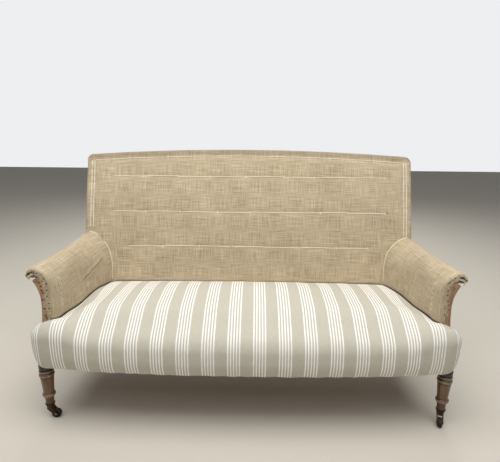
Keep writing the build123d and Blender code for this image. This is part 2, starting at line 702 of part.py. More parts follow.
# The seat: a crowned form drawn in towards the rails, cut round the arms
SEAT_TOP = RAIL_TOP + SEAT_RISE
SEAT_BELLY = RAIL_TOP + SEAT_BELLY_RISE
SEAT_HEM = LEG_HEIGHT + EASED_EDGE
CROWN_STEPS = (0, 30, 60, 90)
HEM_INSET = STUFF_OVER - COVER - COVER_EASE


def seat_levels(shrink, low):
    """The levels of the drawn-in side and of the crown: height, inset, corner radius and tilt."""
    drawn_in = shrink + HEM_INSET * (SEAT_BELLY - low) / (SEAT_BELLY - SEAT_HEM)
    crown = []
    for step in CROWN_STEPS:
        turn = radians(step)
        inset = shrink + (SEAT_ROUND - shrink) * (1 - cos(turn))
        height = SEAT_BELLY + (SEAT_TOP - SEAT_BELLY - shrink) * sin(turn)
        crown.append((height, inset, SEAT_CORNER - shrink, radians(SEAT_RAKE) * sin(turn)))
    return [(low, drawn_in, SEAT_CORNER - drawn_in, 0), crown[0]], crown


def seat_height(y):
    """Height of the covered seat on its middle line, behind its crown."""
    inset = min(max(SEAT_BACK - y, 0), SEAT_ROUND)
    swell = sqrt(1 - (1 - inset / SEAT_ROUND) ** 2)
    return SEAT_BELLY + (SEAT_TOP - SEAT_BELLY) * swell - y * sin(radians(SEAT_RAKE) * swell)


def arm_inner(y):
    """Where the right arm's inner side lies at a depth."""
    share = (y - ARM_FRONT) / (JUNCTION_Y - ARM_FRONT)
    return ARM_INNER_FRONT + share * (ARM_INNER_BACK - ARM_INNER_FRONT)


def seat_form(shrink, low):
    """The stuffed seat drawn in by a shrink, from a low edge up, without the arms' places."""
    with BuildPart() as form:
        for levels in seat_levels(shrink, low):
            for height, inset, corner, tilt in levels:
                half = SEAT_WIDTH / 2 - inset
                front = SEAT_FRONT + inset
                back = SEAT_BACK - inset
                level = Plane((0, 0, height), x_dir=(1, 0, 0), z_dir=(0, sin(tilt), cos(tilt)))
                with BuildSketch(level):
                    with BuildLine():
                        ends = front + FRONT_BOW
                        bow = ThreePointArc((-half, ends), (0, front), (half, ends))
                        Polyline(bow @ 1, (half, back), (-half, back), bow @ 0)
                    make_face()
                    fillet(vertices(), corner)
            loft()
        with BuildSketch(Plane.XY):
            with BuildLine():
                Polyline(
                    (arm_inner(ARM_FRONT) - SOFT_GAP, ARM_FRONT - SOFT_GAP),
                    (SEAT_WIDTH, ARM_FRONT - SOFT_GAP),
                    (SEAT_WIDTH, DEPTH),
                    (arm_inner(DEPTH) - SOFT_GAP, DEPTH),
                    close=True,
                )
            make_face()
            mirror(about=Plane.YZ)
        extrude(amount=DEPTH, mode=Mode.SUBTRACT)
    return form.part


# The back pad's face, an arc from the seat rail's level to the top
FACE_LOW = Vector(0, BACK_SWELL)
FACE_TOP = Vector(BACK_HIGH, BACK_TOP_THICK)


def back_face(share, shrink=0):
    """A point of the back's face at a share of its height: how far up and how far to the front."""
    chord = FACE_TOP - FACE_LOW
    radius = (chord.length**2 / 4 + BACK_CROWN**2) / (2 * BACK_CROWN)
    along = (share - 0.5) * chord.length
    swell = sqrt(radius**2 - along**2) - radius + BACK_CROWN
    outwards = Vector(-chord.Y, chord.X).normalized()
    return FACE_LOW + chord * share + outwards * swell - Vector(0, shrink)


junction = back_face(JUNCTION_SHARE)
JUNCTION_Y = STILE_Y + junction.X * sin(LEAN) - junction.Y * cos(LEAN)
BACK_PAD_LOW = seat_height(JUNCTION_Y) + 2 * SOFT_GAP
ARM_PAD_END = JUNCTION_Y + BACK_SWELL / 2
NOTCH_X = ARM_RAIL_BACK_INNER - ARM_LAYERS - 2 * SOFT_GAP
NOTCH_TOP = POST_TOP + SOFT_GAP


def back_prism(shrink, low):
    """All that lies behind the back's face, drawn in by a shrink, above a low edge."""
    with BuildPart() as prism:
        with BuildSketch(BACK_SIDE):
            with BuildLine():
                face = ThreePointArc(
                    back_face(0, shrink), back_face(0.5, shrink), back_face(1, shrink)
                )
                Polyline(face @ 1, (BACK_HIGH + DEPTH, 0), (BACK_HIGH, -DEPTH), (0, -DEPTH), face @ 0)
            make_face()
        extrude(amount=SEAT_WIDTH, both=True)
        split(bisect_by=Plane.XY.offset(low), keep=Keep.TOP)
    return prism.part


def back_form(shrink, rear, low):
    """The stuffed back drawn in by a shrink, from a rear plane forward and a low edge up."""
    half = BACK_WIDTH / 2 - shrink
    with BuildPart() as form:
        with BuildSketch(BACK_PLANE.offset(rear)):
            with BuildLine():
                arch = back_arch(half, shrink)
                Polyline(arch @ 0, (-half, 0), (half, 0), arch @ 1)
            make_face()
            fillet(vertices().group_by(Axis.Y)[-1], BACK_CORNER - shrink)
        extrude(amount=2 * BACK_SWELL)
        add(back_prism(shrink, low), mode=Mode.INTERSECT)
        front = form.faces().filter_by(GeomType.CYLINDER).sort_by(SortBy.AREA)[-1]
        fillet(front.edges().sort_by(Axis.Z)[1:], BACK_EDGE_ROLL - shrink)
        for share in TIE_ROWS:
            tie = back_face(share, shrink) + Vector(0, TIE_RADIUS - TIE_DEEP)
            with BuildSketch(BACK_SIDE):
                with Locations((tie.X, tie.Y)):
                    Circle(TIE_RADIUS)
            extrude(amount=BACK_WIDTH / 2 - TIE_INSET + shrink, both=True, mode=Mode.SUBTRACT)
        with BuildSketch(Plane.XY):
            with Locations((NOTCH_X + SEAT_WIDTH / 2, 0), (-NOTCH_X - SEAT_WIDTH / 2, 0)):
                Rectangle(SEAT_WIDTH, 2 * DEPTH)
        extrude(amount=NOTCH_TOP, mode=Mode.SUBTRACT)
    return form.part


def arm_form(shrink, overrun, low):
    """The stuffed right arm drawn in by a shrink, its ends lengthened by an overrun."""
    with BuildPart() as form:
        for y in (ARM_FRONT - BLOCK, ARM_PAD_END + BLOCK):
            share = (y - ARM_FRONT) / (JUNCTION_Y - ARM_FRONT)
            inner = arm_inner(y) + shrink
            tip = ARM_TIP_FRONT + share * (ARM_TIP_BACK - ARM_TIP_FRONT) - shrink
            top = ARM_TOP - shrink
            shoulder = ARM_TOP - ARM_SHOULDER_FRONT - share * (ARM_SHOULDER_BACK - ARM_SHOULDER_FRONT)
            with BuildSketch(upright_plane(y)):
                with BuildLine():
                    wall = Line((inner, RAIL_TOP), (inner + ARM_LEAN * share, shoulder))
                    rise = TangentArc(wall @ 1, ((inner + tip) / 2, top), tangent=wall % 1)
                    roll = TangentArc(rise @ 1, (tip, top - ARM_ROLL_DROP), tangent=rise % 1)
                    Polyline(roll @ 1, (tip, RAIL_TOP), wall @ 0)
                make_face()
        loft(ruled=True)
        with BuildSketch(Plane.XY):
            with BuildLine():
                frame_face = ARM_PLANE.offset(ARM_LAYERS + SOFT_GAP)
                rear = frame_face.from_local_coords((-DEPTH, 0, 0))
                fore = frame_face.from_local_coords((2 * DEPTH, 0, 0))
                Polyline(
                    (rear.X, rear.Y),
                    (fore.X, fore.Y),
                    (2 * SEAT_WIDTH, fore.Y),
                    (2 * SEAT_WIDTH, rear.Y),
                    close=True,
                )
            make_face()
        extrude(amount=POST_TOP + SOFT_GAP, mode=Mode.SUBTRACT)
        add(back_prism(-SOFT_GAP, BACK_PAD_LOW - SOFT_GAP), mode=Mode.SUBTRACT)
        split(bisect_by=upright_plane(ARM_FRONT - overrun), keep=Keep.BOTTOM)
        split(bisect_by=upright_plane(ARM_PAD_END + overrun), keep=Keep.TOP)
        split(bisect_by=Plane.XY.offset(low), keep=Keep.TOP)
    return form.part


SKIN = COVER + SOFT_GAP
WELL_HALF = (SPRING_COLUMNS - 1) / 2 * SPRING_PITCH + SPRING_RADIUS + WIRE_RADIUS + WELL_MARGIN
WELL_FRONT = SEAT_ROW_Y[0] - SPRING_RADIUS - WIRE_RADIUS - WELL_MARGIN
WELL_BACK = SEAT_ROW_Y[SPRING_ROWS - 1] + SPRING_RADIUS + WIRE_RADIUS + WELL_MARGIN
WELL_MIDDLE = (0, (WELL_FRONT + WELL_BACK) / 2)
CANVAS_LOW = SPRING_TOP + WEB_GAP
WELL_TOP = CANVAS_LOW + LINING + WEB_GAP

with BuildPart() as seat_canvas:
    with BuildSketch(Plane.XY.offset(CANVAS_LOW)):
        with Locations(WELL_MIDDLE):
            Rectangle(2 * WELL_HALF - WEB_GAP, WELL_BACK - WELL_FRONT - WEB_GAP)
    extrude(amount=LINING)
save(seat_canvas.part, "seat_spring_canvas")

with BuildPart() as seat_stuffing:
    add(seat_form(SKIN, SEAT_HEM))
    split(bisect_by=Plane.XY.offset(RAIL_TOP + COVER_EASE), keep=Keep.TOP)
    with BuildSketch(Plane.XY.offset(LEG_HEIGHT)):
        with Locations(WELL_MIDDLE):
            Rectangle(2 * WELL_HALF, WELL_BACK - WELL_FRONT)
    extrude(amount=WELL_TOP - LEG_HEIGHT, mode=Mode.SUBTRACT)
save(seat_stuffing.part, "seat_stuffing")

with BuildPart() as seat_cover:
    add(seat_form(0, SEAT_HEM))
    add(seat_form(COVER, SEAT_HEM - RAIL_HEIGHT / 4), mode=Mode.SUBTRACT)
    with BuildSketch(Plane.XY):
        with Locations((0, DEPTH / 2 + ARM_FRONT - SOFT_GAP)):
            Rectangle(2 * SEAT_WIDTH, DEPTH)
    extrude(amount=RAIL_TOP + COVER_EASE, mode=Mode.SUBTRACT)
save(seat_cover.part, "seat_cover")

LINING_HALF = STILE_OUT - BACK_CORNER
LINING_SHOULDER = (NOTCH_TOP - RAIL_TOP) / cos(LEAN)
LINING_LOW = LOWER_RAIL_LOW + EASED_EDGE

with BuildPart() as back_lining:
    with BuildSketch(BACK_PLANE.offset(BACK_LAYERS - LINING)):
        with BuildLine():
            arch = back_arch(LINING_HALF, BACK_CORNER)
            Polyline(
                arch @ 1,
                (LINING_HALF, LINING_SHOULDER),
                (NOTCH_X, LINING_SHOULDER),
                (NOTCH_X, LINING_LOW),
                (-NOTCH_X, LINING_LOW),
                (-NOTCH_X, LINING_SHOULDER),
                (-LINING_HALF, LINING_SHOULDER),
                arch @ 0,
            )
        make_face()
    extrude(amount=LINING)
save(back_lining.part, "back_lining")

with BuildPart() as back_pad:
    add(back_form(SKIN, BACK_LAYERS + WEB_GAP, BACK_PAD_LOW))
save(back_pad.part, "back_pad")

with BuildPart() as back_cover:
    add(back_form(0, -STILE_DEEP, BACK_PAD_LOW))
    add(back_form(COVER, -2 * STILE_DEEP, BACK_PAD_LOW - BACK_SWELL), mode=Mode.SUBTRACT)
save(back_cover.part, "back_cover")

with BuildPart() as arm_lining:
    with BuildSketch(ARM_PLANE.offset(ARM_LAYERS - LINING)):
        with Locations((ARM_LONG / 2, ARM_WEB_MIDDLE)):
            Rectangle(ARM_LONG - WEB_GAP, ARM_WEB_RISE)
    extrude(amount=LINING)
save_pair(arm_lining.part, "arm_lining")

ARM_PAD_LOW = RAIL_TOP + ARM_PAD_RISE
with BuildPart() as arm_pad:
    add(arm_form(SKIN, 0, ARM_PAD_LOW))
save_pair(arm_pad.part, "arm_pad")

with BuildPart() as arm_cover:
    add(arm_form(0, 0, ARM_PAD_LOW))
    add(arm_form(COVER, BLOCK / 2, RAIL_TOP), mode=Mode.SUBTRACT)
save_pair(arm_cover.part, "arm_cover")
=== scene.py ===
"""A low rolled-arm sofa part way through being upholstered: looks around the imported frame."""

import math

import bpy
import numpy as np
from mathutils import Matrix, Vector
from mathutils.bvhtree import BVHTree


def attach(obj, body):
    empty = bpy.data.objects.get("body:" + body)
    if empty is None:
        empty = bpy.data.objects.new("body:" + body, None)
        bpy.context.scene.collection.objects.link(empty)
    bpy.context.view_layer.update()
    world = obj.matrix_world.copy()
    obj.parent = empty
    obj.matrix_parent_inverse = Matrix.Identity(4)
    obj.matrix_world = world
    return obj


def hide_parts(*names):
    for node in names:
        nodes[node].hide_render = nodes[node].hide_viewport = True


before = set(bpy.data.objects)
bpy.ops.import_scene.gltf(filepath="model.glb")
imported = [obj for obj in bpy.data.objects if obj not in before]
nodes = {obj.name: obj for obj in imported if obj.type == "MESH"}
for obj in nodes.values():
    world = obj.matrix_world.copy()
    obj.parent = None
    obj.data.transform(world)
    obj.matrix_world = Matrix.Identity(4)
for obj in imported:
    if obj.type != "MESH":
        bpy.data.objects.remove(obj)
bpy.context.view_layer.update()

# Sizes shared with the frame, in metres
SEAT_HALF, SEAT_FRONT, SEAT_BACK = 0.775, -0.363, 0.1986
SEAT_TOP, SEAT_BELLY, SEAT_HEM = 0.410, 0.342, 0.2265
SEAT_ROUND, SEAT_CORNER, FRONT_BOW, HEM_INSET = 0.150, 0.062, 0.028, 0.016
SEAT_RAKE = math.radians(5)
RAIL_TOP, LEG_HEIGHT, BLOCK_FRONT = 0.316, 0.224, -0.317
BACK_HALF, BACK_HIGH, BACK_EDGE = 0.726, 0.650, 0.623
BACK_SWELL, BACK_TOP_THICK, BACK_CROWN = 0.118, 0.062, 0.016
BACK_ROLL, BACK_CORNER, STILE_DEEP = 0.018, 0.026, 0.034
STILE_Y, STILE_OUT, LEAN = 0.216645, 0.724, math.radians(10)
ARM_FRONT, ARM_TOP, ARM_MEET = -0.271, 0.586, 0.1115
ARM_INNER_FRONT, ARM_INNER_BACK = 0.688, 0.596
ARM_TIP_FRONT, ARM_TIP_BACK = 0.778, 0.722
POST_INNER, POST_TOP, ARM_RAIL_BACK, ARM_RAIL_THICK = 0.704, 0.550, 0.690, 0.028
TIE_ROWS = (0.2178, 0.3705, 0.5265)
TIE_HALVES = (0.532, 0.605, 0.609)
WEB_WIDE, WEB_THICK, WEB_GAP, WEB_REST = 0.050, 0.0016, 0.0004, 0.0010
SIDES = ((1, "right"), (-1, "left"))


# Working by hand: selection, grids, modifiers
def clear_selection():
    if bpy.context.object and bpy.context.object.mode != "OBJECT":
        bpy.ops.object.mode_set(mode="OBJECT")
    bpy.ops.object.select_all(action="DESELECT")


def work_on(piece):
    clear_selection()
    piece.select_set(True)
    bpy.context.view_layer.objects.active = piece


def points_of(piece):
    co = np.empty(len(piece.data.vertices) * 3)
    piece.data.vertices.foreach_get("co", co)
    return co.reshape(-1, 3)


def normals_of(piece):
    no = np.empty(len(piece.data.vertices) * 3)
    piece.data.vertices.foreach_get("normal", no)
    return no.reshape(-1, 3)


def set_points(piece, points):
    piece.data.vertices.foreach_set("co", np.asarray(points, float).ravel())
    piece.data.update()


def set_weave(piece, flat):
    """Gives each corner its place on the flat cloth, in metres."""
    layer = piece.data.uv_layers.get("weave") or piece.data.uv_layers.new(name="weave")
    corner = np.empty(len(piece.data.loops), int)
    piece.data.loops.foreach_get("vertex_index", corner)
    layer.data.foreach_set("uv", np.asarray(flat, float)[corner].ravel())
    piece.data.uv_layers.active = layer


def cloth_grid(name, columns, rows, place):
    """A grid of cloth whose points are placed by their shares across and along."""
    clear_selection()
    bpy.ops.mesh.primitive_grid_add(x_subdivisions=columns, y_subdivisions=rows, size=1, calc_uvs=False)
    piece = bpy.context.object
    piece.name = name
    piece.data.name = name
    share = points_of(piece)
    points, flat = place(share[:, 0] + 0.5, share[:, 1] + 0.5)
    set_points(piece, points)
    set_weave(piece, flat)
    return piece


def apply_modifier(piece, kind, **values):
    work_on(piece)
    modifier = piece.modifiers.new(kind.lower(), kind)
    for key, value in values.items():
        setattr(modifier, key, value)
    bpy.ops.object.modifier_apply(modifier=modifier.name)


def thicken(piece, thickness, offset=-1.0):
    apply_modifier(piece, "SOLIDIFY", thickness=thickness, offset=offset, use_even_offset=False)


def smooth_shade(piece, angle=50):
    work_on(piece)
    bpy.ops.object.shade_smooth_by_angle(angle=math.radians(angle))


def delete_where(piece, chosen):
    """Deletes the faces whose middles are chosen."""
    work_on(piece)
    bpy.ops.object.mode_set(mode="EDIT")
    bpy.ops.mesh.select_mode(type="FACE")
    bpy.ops.mesh.select_all(action="DESELECT")
    bpy.ops.object.mode_set(mode="OBJECT")
    for face in piece.data.polygons:
        face.select = bool(chosen(face.center))
    bpy.ops.object.mode_set(mode="EDIT")
    bpy.ops.mesh.delete(type="FACE")
    bpy.ops.object.mode_set(mode="OBJECT")


def slice_at(piece, place, normal):
    """Cuts an edge line through the whole piece."""
    work_on(piece)
    bpy.ops.object.mode_set(mode="EDIT")
    bpy.ops.mesh.select_all(action="SELECT")
    bpy.ops.mesh.bisect(plane_co=place, plane_no=normal)
    bpy.ops.object.mode_set(mode="OBJECT")


def join_all(name, pieces):
    clear_selection()
    for piece in pieces:
        piece.select_set(True)
    bpy.context.view_layer.objects.active = pieces[0]
    if len(pieces) > 1:
        bpy.ops.object.join()
    pieces[0].name = name
    pieces[0].data.name = name
    return pieces[0]


def copies_at(original, places, name):
    """Copies of one small piece, each with its own turn and place, joined into one."""
    made = []
    for matrix in places:
        copy = original.copy()
        copy.data = original.data.copy()
        bpy.context.collection.objects.link(copy)
        copy.data.transform(matrix)
        made.append(copy)
    bpy.data.objects.remove(original)
    return join_all(name, made)


def tubes(name, runs, radius, kind="NURBS", sides=1):
    """Round lines along runs of points, as one mesh."""
    curve = bpy.data.curves.new(name, "CURVE")
    curve.dimensions = "3D"
    curve.bevel_depth = radius
    curve.bevel_resolution = sides
    curve.use_fill_caps = True
    curve.resolution_u = 2
    for run in runs:
        spline = curve.splines.new(kind)
        spline.points.add(len(run) - 1)
        for point, place in zip(spline.points, run):
            point.co = (*place, 1)
        if kind == "NURBS":
            spline.order_u = 3
            spline.use_endpoint_u = True
    piece = bpy.data.objects.new(name, curve)
    bpy.context.collection.objects.link(piece)
    work_on(piece)
    bpy.ops.object.convert(target="MESH")
    piece = bpy.context.object
    bpy.ops.object.shade_smooth()
    return piece


def smoothstep(low, high, value):
    """Comes in softly from the first place to the second, whichever of them is the larger."""
    share = np.clip((value - low) / (high - low), 0, 1)
    return share * share * (3 - 2 * share)


def lumps(points, size, seed=0.0):
    """A gentle unevenness between -1 and 1 that repeats nowhere on the sofa."""
    x, y, z = (points / size).T
    value = np.sin(1.7 * x + 0.9 * y + seed) * np.cos(1.1 * z - 0.6 * x + 2.3 * seed)
    value += 0.6 * np.sin(2.9 * z + 1.3 * y - seed) * np.cos(2.3 * x + 0.4 * z + seed)
    value += 0.4 * np.sin(4.7 * x - 1.9 * z + 1.7 * seed) * np.cos(3.8 * y + 3.1 * z)
    return value / 2


def unevenness(points, layers):
    """Lumps of several sizes together, each given by its height, its size and where it starts."""
    return sum(high * lumps(points, size, seed) for high, size, seed in layers)


FILL_FRAMES, FILL_PRESSURE = 20, 3.0


def swell(piece, pinned, cap):
    """Fills the cloth by a short pressure simulation, with its edges held and its movement capped."""
    work_on(piece)
    group = piece.vertex_groups.new(name="held")
    group.add([int(number) for number in np.nonzero(pinned)[0]], 1.0, "REPLACE")
    rest = points_of(piece)
    modifier = piece.modifiers.new("fill", "CLOTH")
    cloth = modifier.settings
    cloth.quality = 4
    cloth.mass = 0.3
    cloth.tension_stiffness = 18
    cloth.compression_stiffness = 18
    cloth.shear_stiffness = 8
    cloth.bending_stiffness = 2
    cloth.use_pressure = True
    cloth.uniform_pressure_force = FILL_PRESSURE
    cloth.vertex_group_mass = "held"
    cloth.effector_weights.gravity = 0
    modifier.collision_settings.use_collision = False
    modifier.point_cache.frame_start = 1
    modifier.point_cache.frame_end = FILL_FRAMES
    scene = bpy.context.scene
    for number in range(1, FILL_FRAMES + 1):
        scene.frame_set(number)
    filled = piece.evaluated_get(bpy.context.evaluated_depsgraph_get()).data
    moved = np.empty(len(filled.vertices) * 3)
    filled.vertices.foreach_get("co", moved)
    step = moved.reshape(-1, 3) - rest
    step *= min(1.0, cap / np.linalg.norm(step, axis=1).max())
    piece.modifiers.remove(modifier)
    piece.vertex_groups.remove(group)
    scene.frame_set(1)
    set_points(piece, rest + step)


def set_painted_shade(piece, painted_shade):
    """Stores how much painted shade darkens each point of a cloth."""
    layer = piece.data.attributes.new("painted_shade", "FLOAT", "POINT")
    layer.data.foreach_set("value", np.asarray(painted_shade, np.float32))


def surface(piece):
    points = [tuple(vertex.co) for vertex in piece.data.vertices]
    return BVHTree.FromPolygons(points, [tuple(face.vertices) for face in piece.data.polygons])


CREVICE_TOP, CREVICE_EDGE, CREVICE_LOOK = 0.44, (0.0055, -0.0035), 0.5


def crevice(points, skin, step):
    """How near each point is to the line where its cloth goes down beside the seat."""
    near = np.zeros(len(points))
    for number, point in enumerate(points):
        if point[2] < CREVICE_TOP:
            above = Vector(point * (1, 1, 0) + step + (0, 0, CREVICE_LOOK))
            hit = skin.ray_cast(above, Vector((0, 0, -1)))[0]
            if hit:
                near[number] = smoothstep(*CREVICE_EDGE, point[2] - hit.z)
    return near


def edge_points(piece):
    """True for each point on the open edge of a cloth."""
    count = {}
    for face in piece.data.polygons:
        for key in face.edge_keys:
            count[key] = count.get(key, 0) + 1
    edge = np.zeros(len(piece.data.vertices), bool)
    for key, uses in count.items():
        if uses == 1:
            edge[list(key)] = True
    return edge


# Materials
class Finish:
    """A material and short words for its nodes."""

    def __init__(self, name, roughness=0.6, metallic=0.0, specular=0.5):
        self.material = bpy.data.materials.new(name)
        self.material.use_nodes = True
        tree = self.material.node_tree
        self.nodes, self.links = tree.nodes, tree.links
        self.shader = self.nodes["Principled BSDF"]
        self.shader.inputs["Roughness"].default_value = roughness
        self.shader.inputs["Metallic"].default_value = metallic
        self.shader.inputs["Specular IOR Level"].default_value = specular

    def add(self, kind, **values):
        node = self.nodes.new(kind)
        for key, value in values.items():
            setattr(node, key, value)
        return node

    def join(self, source, target):
        self.links.new(source, target)

    def put(self, socket, value):
        if isinstance(value, bpy.types.NodeSocket):
            self.links.new(value, socket)
        else:
            socket.default_value = value

    def math(self, operation, first, second=0.0, third=0.0, clamp=False):
        node = self.add("ShaderNodeMath", operation=operation, use_clamp=clamp)
        for socket, value in zip(node.inputs, (first, second, third)):
            self.put(socket, value)
        return node.outputs[0]

    def swing(self, value, gain, base, clamp=False):
        """A noise's swing about its middle, scaled and added to a value."""
        return self.math("MULTIPLY_ADD", self.math("SUBTRACT", value, 0.5), gain, base, clamp=clamp)

    def sum_of(self, first, first_share, second, second_share):
        """Two values added, each by its own share."""
        first = self.math("MULTIPLY", first, first_share)
        return self.math("ADD", first, self.math("MULTIPLY", second, second_share))

    def gap(self, value, middle):
        """How far a value is from a middle."""
        return self.math("ABSOLUTE", self.math("SUBTRACT", value, middle))

    def object_place(self):
        return self.add("ShaderNodeTexCoord").outputs["Object"]

    def weave_place(self):
        return self.add("ShaderNodeUVMap", uv_map="weave").outputs["UV"]

    def parts(self, place):
        node = self.add("ShaderNodeSeparateXYZ")
        self.join(place, node.inputs[0])
        return node.outputs

    def mapped(self, place, scale=(1, 1, 1), turn=(0, 0, 0), shift=(0, 0, 0)):
        node = self.add("ShaderNodeMapping")
        self.join(place, node.inputs["Vector"])
        node.inputs["Scale"].default_value = scale
        node.inputs["Rotation"].default_value = turn
        node.inputs["Location"].default_value = shift
        return node.outputs[0]

    def noise(self, place, scale, detail=3.0, roughness=0.55, distortion=0.0):
        node = self.add("ShaderNodeTexNoise")
        self.join(place, node.inputs["Vector"])
        node.inputs["Scale"].default_value = scale
        node.inputs["Detail"].default_value = detail
        node.inputs["Roughness"].default_value = roughness
        node.inputs["Distortion"].default_value = distortion
        return node.outputs["Fac"]

    def ramp(self, value, *stops):
        node = self.add("ShaderNodeValToRGB")
        self.join(value, node.inputs[0])
        ramp = node.color_ramp
        while len(ramp.elements) < len(stops):
            ramp.elements.new(0.5)
        for element, (place, colour) in zip(ramp.elements, stops):
            element.position = place
            element.color = (*colour, 1)
        return node.outputs[0]

    def span(self, value, low, high, to_low=0.0, to_high=1.0, smooth=False):
        node = self.add("ShaderNodeMapRange")
        node.interpolation_type = "SMOOTHSTEP" if smooth else "LINEAR"
        for socket, item in zip(node.inputs, (value, low, high, to_low, to_high)):
            self.put(socket, item)
        return node.outputs[0]

    def mix(self, share, first, second, blend="MIX"):
        node = self.add("ShaderNodeMix", data_type="RGBA", blend_type=blend)
        self.put(node.inputs["Factor"], share)
        sockets = [socket for socket in node.inputs if socket.type == "RGBA"]
        for socket, value in zip(sockets, (first, second)):
            self.put(socket, (*value, 1) if isinstance(value, tuple) and len(value) == 3 else value)
        return [socket for socket in node.outputs if socket.type == "RGBA"][0]

    def bump(self, height, distance, strength=1.0):
        node = self.add("ShaderNodeBump")
        self.join(height, node.inputs["Height"])
        node.inputs["Distance"].default_value = distance
        node.inputs["Strength"].default_value = strength
        self.join(node.outputs[0], self.shader.inputs["Normal"])

    def colour(self, value):
        self.put(self.shader.inputs["Base Color"], value)

    def rough(self, value):
        self.put(self.shader.inputs["Roughness"], value)


def shade(red, green, blue):
    """A colour as it is named on screen, out of 255, made linear."""
    values = []
    for part in (red, green, blue):
        part /= 255
        values.append(part / 12.92 if part <= 0.04045 else ((part + 0.055) / 1.055) ** 2.4)
    return tuple(values)


def threads(finish, along, pitch):
    """The round backs of threads that run across one direction of the cloth."""
    wave = finish.math("SINE", finish.math("MULTIPLY", along, 2 * math.pi / pitch))
    return finish.math("MULTIPLY_ADD", wave, 0.5, 0.5)


WEAVE_WANDER = 0.9


def hessian_finish(name, light, dark, pitch):
    """An open plain weave with slubs, clouds of tone and painted shade."""
    finish = Finish(name, roughness=0.92, specular=0.15)
    place = finish.weave_place()
    across, along, _ = finish.parts(place)
    wander = finish.noise(finish.mapped(place, (30, 30, 1)), 1.0, 2)
    across_w = finish.math("MULTIPLY_ADD", wander, pitch * WEAVE_WANDER, across)
    along_w = finish.math("MULTIPLY_ADD", wander, pitch * WEAVE_WANDER, along)
    warp = threads(finish, across_w, pitch)
    weft = threads(finish, along_w, pitch)
    check_across = finish.math("SINE", finish.math("MULTIPLY", across_w, math.pi / pitch))
    check_along = finish.math("SINE", finish.math("MULTIPLY", along_w, math.pi / pitch))
    over = finish.span(finish.math("MULTIPLY", check_across, check_along), -0.4, 0.4)
    weave = finish.mix(over, warp, weft)
    slub_warp = finish.noise(finish.mapped(place, (330, 14, 1)), 1.0, 3, 0.6)
    slub_weft = finish.noise(finish.mapped(place, (12, 300, 1), shift=(3, 5, 0)), 1.0, 3, 0.6)
    slub = finish.sum_of(slub_warp, 0.5, slub_weft, 0.5)
    cloud = finish.noise(finish.mapped(place, (7, 7, 1)), 1.0, 3)
    tone = finish.swing(slub, 2.6, 0.5)
    tone = finish.swing(cloud, 0.45, tone, clamp=True)
    colour = finish.ramp(tone, (0.1, dark), (0.9, light))
    gaps = finish.span(finish.math("MULTIPLY", warp, weft), 0.0, 0.3, 0.78, 1.0)
    colour = finish.mix(1.0, colour, finish.ramp(gaps, (0, (0, 0, 0)), (1, (1, 1, 1))), "MULTIPLY")
    # Painted shade: darkens the cloth wherever the painted_shade attribute is set, in crevices, in the arm's
    # fold and on the back's top roll.
    painted_shade = finish.add("ShaderNodeAttribute", attribute_name="painted_shade").outputs["Fac"]
    finish.colour(finish.mix(painted_shade, colour, shade(46, 34, 24)))
    finish.bump(finish.sum_of(weave, 0.6, slub, 0.7), 0.0012, 0.55)
    finish.shader.inputs["Sheen Weight"].default_value = 0.12
    finish.shader.inputs["Sheen Roughness"].default_value = 0.6
    return finish.material


STRIPE_REPEAT, STRIPE_SHIFT = 0.0890, 0.0073
BAND_EDGE, LINE_PITCH, LINE_EDGE = (0.0240, 0.0246), 0.0101, (0.205, 0.265)
TWILL_PITCH = 0.0013


def ticking_finish():
    """Bands of five white lines on a pale twill ground."""
    finish = Finish("ticking", roughness=0.88, specular=0.2)
    place = finish.weave_place()
    across, along, _ = finish.parts(place)
    fuzz = finish.noise(finish.mapped(place, (900, 260, 1)), 1.0, 2)
    shifted = finish.math("SUBTRACT", finish.swing(fuzz, 0.0012, across), STRIPE_SHIFT)
    repeat = finish.math("FRACT", finish.math("DIVIDE", shifted, STRIPE_REPEAT))
    offset = finish.math("MULTIPLY", finish.math("SUBTRACT", repeat, 0.5), STRIPE_REPEAT)
    band = finish.span(finish.math("ABSOLUTE", offset), *BAND_EDGE, 1.0, 0.0)
    line = finish.math("FRACT", finish.math("ADD", finish.math("DIVIDE", offset, LINE_PITCH), 0.5))
    line = finish.span(finish.gap(line, 0.5), *LINE_EDGE, 1.0, 0.0)
    stripe = finish.math("MULTIPLY", band, line)
    thread_warp = finish.noise(finish.mapped(place, (1500, 60, 1)), 1.0, 2)
    thread_weft = finish.noise(finish.mapped(place, (50, 1400, 1)), 1.0, 2)
    thread = finish.sum_of(thread_warp, 0.5, thread_weft, 0.5)
    ground = finish.ramp(thread, (0.28, shade(188, 182, 166)), (0.72, shade(211, 206, 192)))
    white = finish.ramp(thread, (0.25, shade(246, 243, 235)), (0.7, shade(254, 253, 250)))
    finish.colour(finish.mix(stripe, ground, white))
    twill = threads(finish, finish.math("ADD", across, along), TWILL_PITCH)
    height = finish.sum_of(twill, 0.4, stripe, 0.5)
    height = finish.math("ADD", height, finish.math("MULTIPLY", thread, 0.6))
    finish.bump(height, 0.0005, 0.6)
    finish.shader.inputs["Sheen Weight"].default_value = 0.08
    return finish.material


RIB_PITCH, PICK_PITCH, PICK_SLANT = 0.0025, 0.0022, 0.6
WEB_BORDER, WEB_BORDER_EDGE, WEB_SELVEDGE = 0.0165, (0.0008, 0.0016), (0.0185, 0.0195)


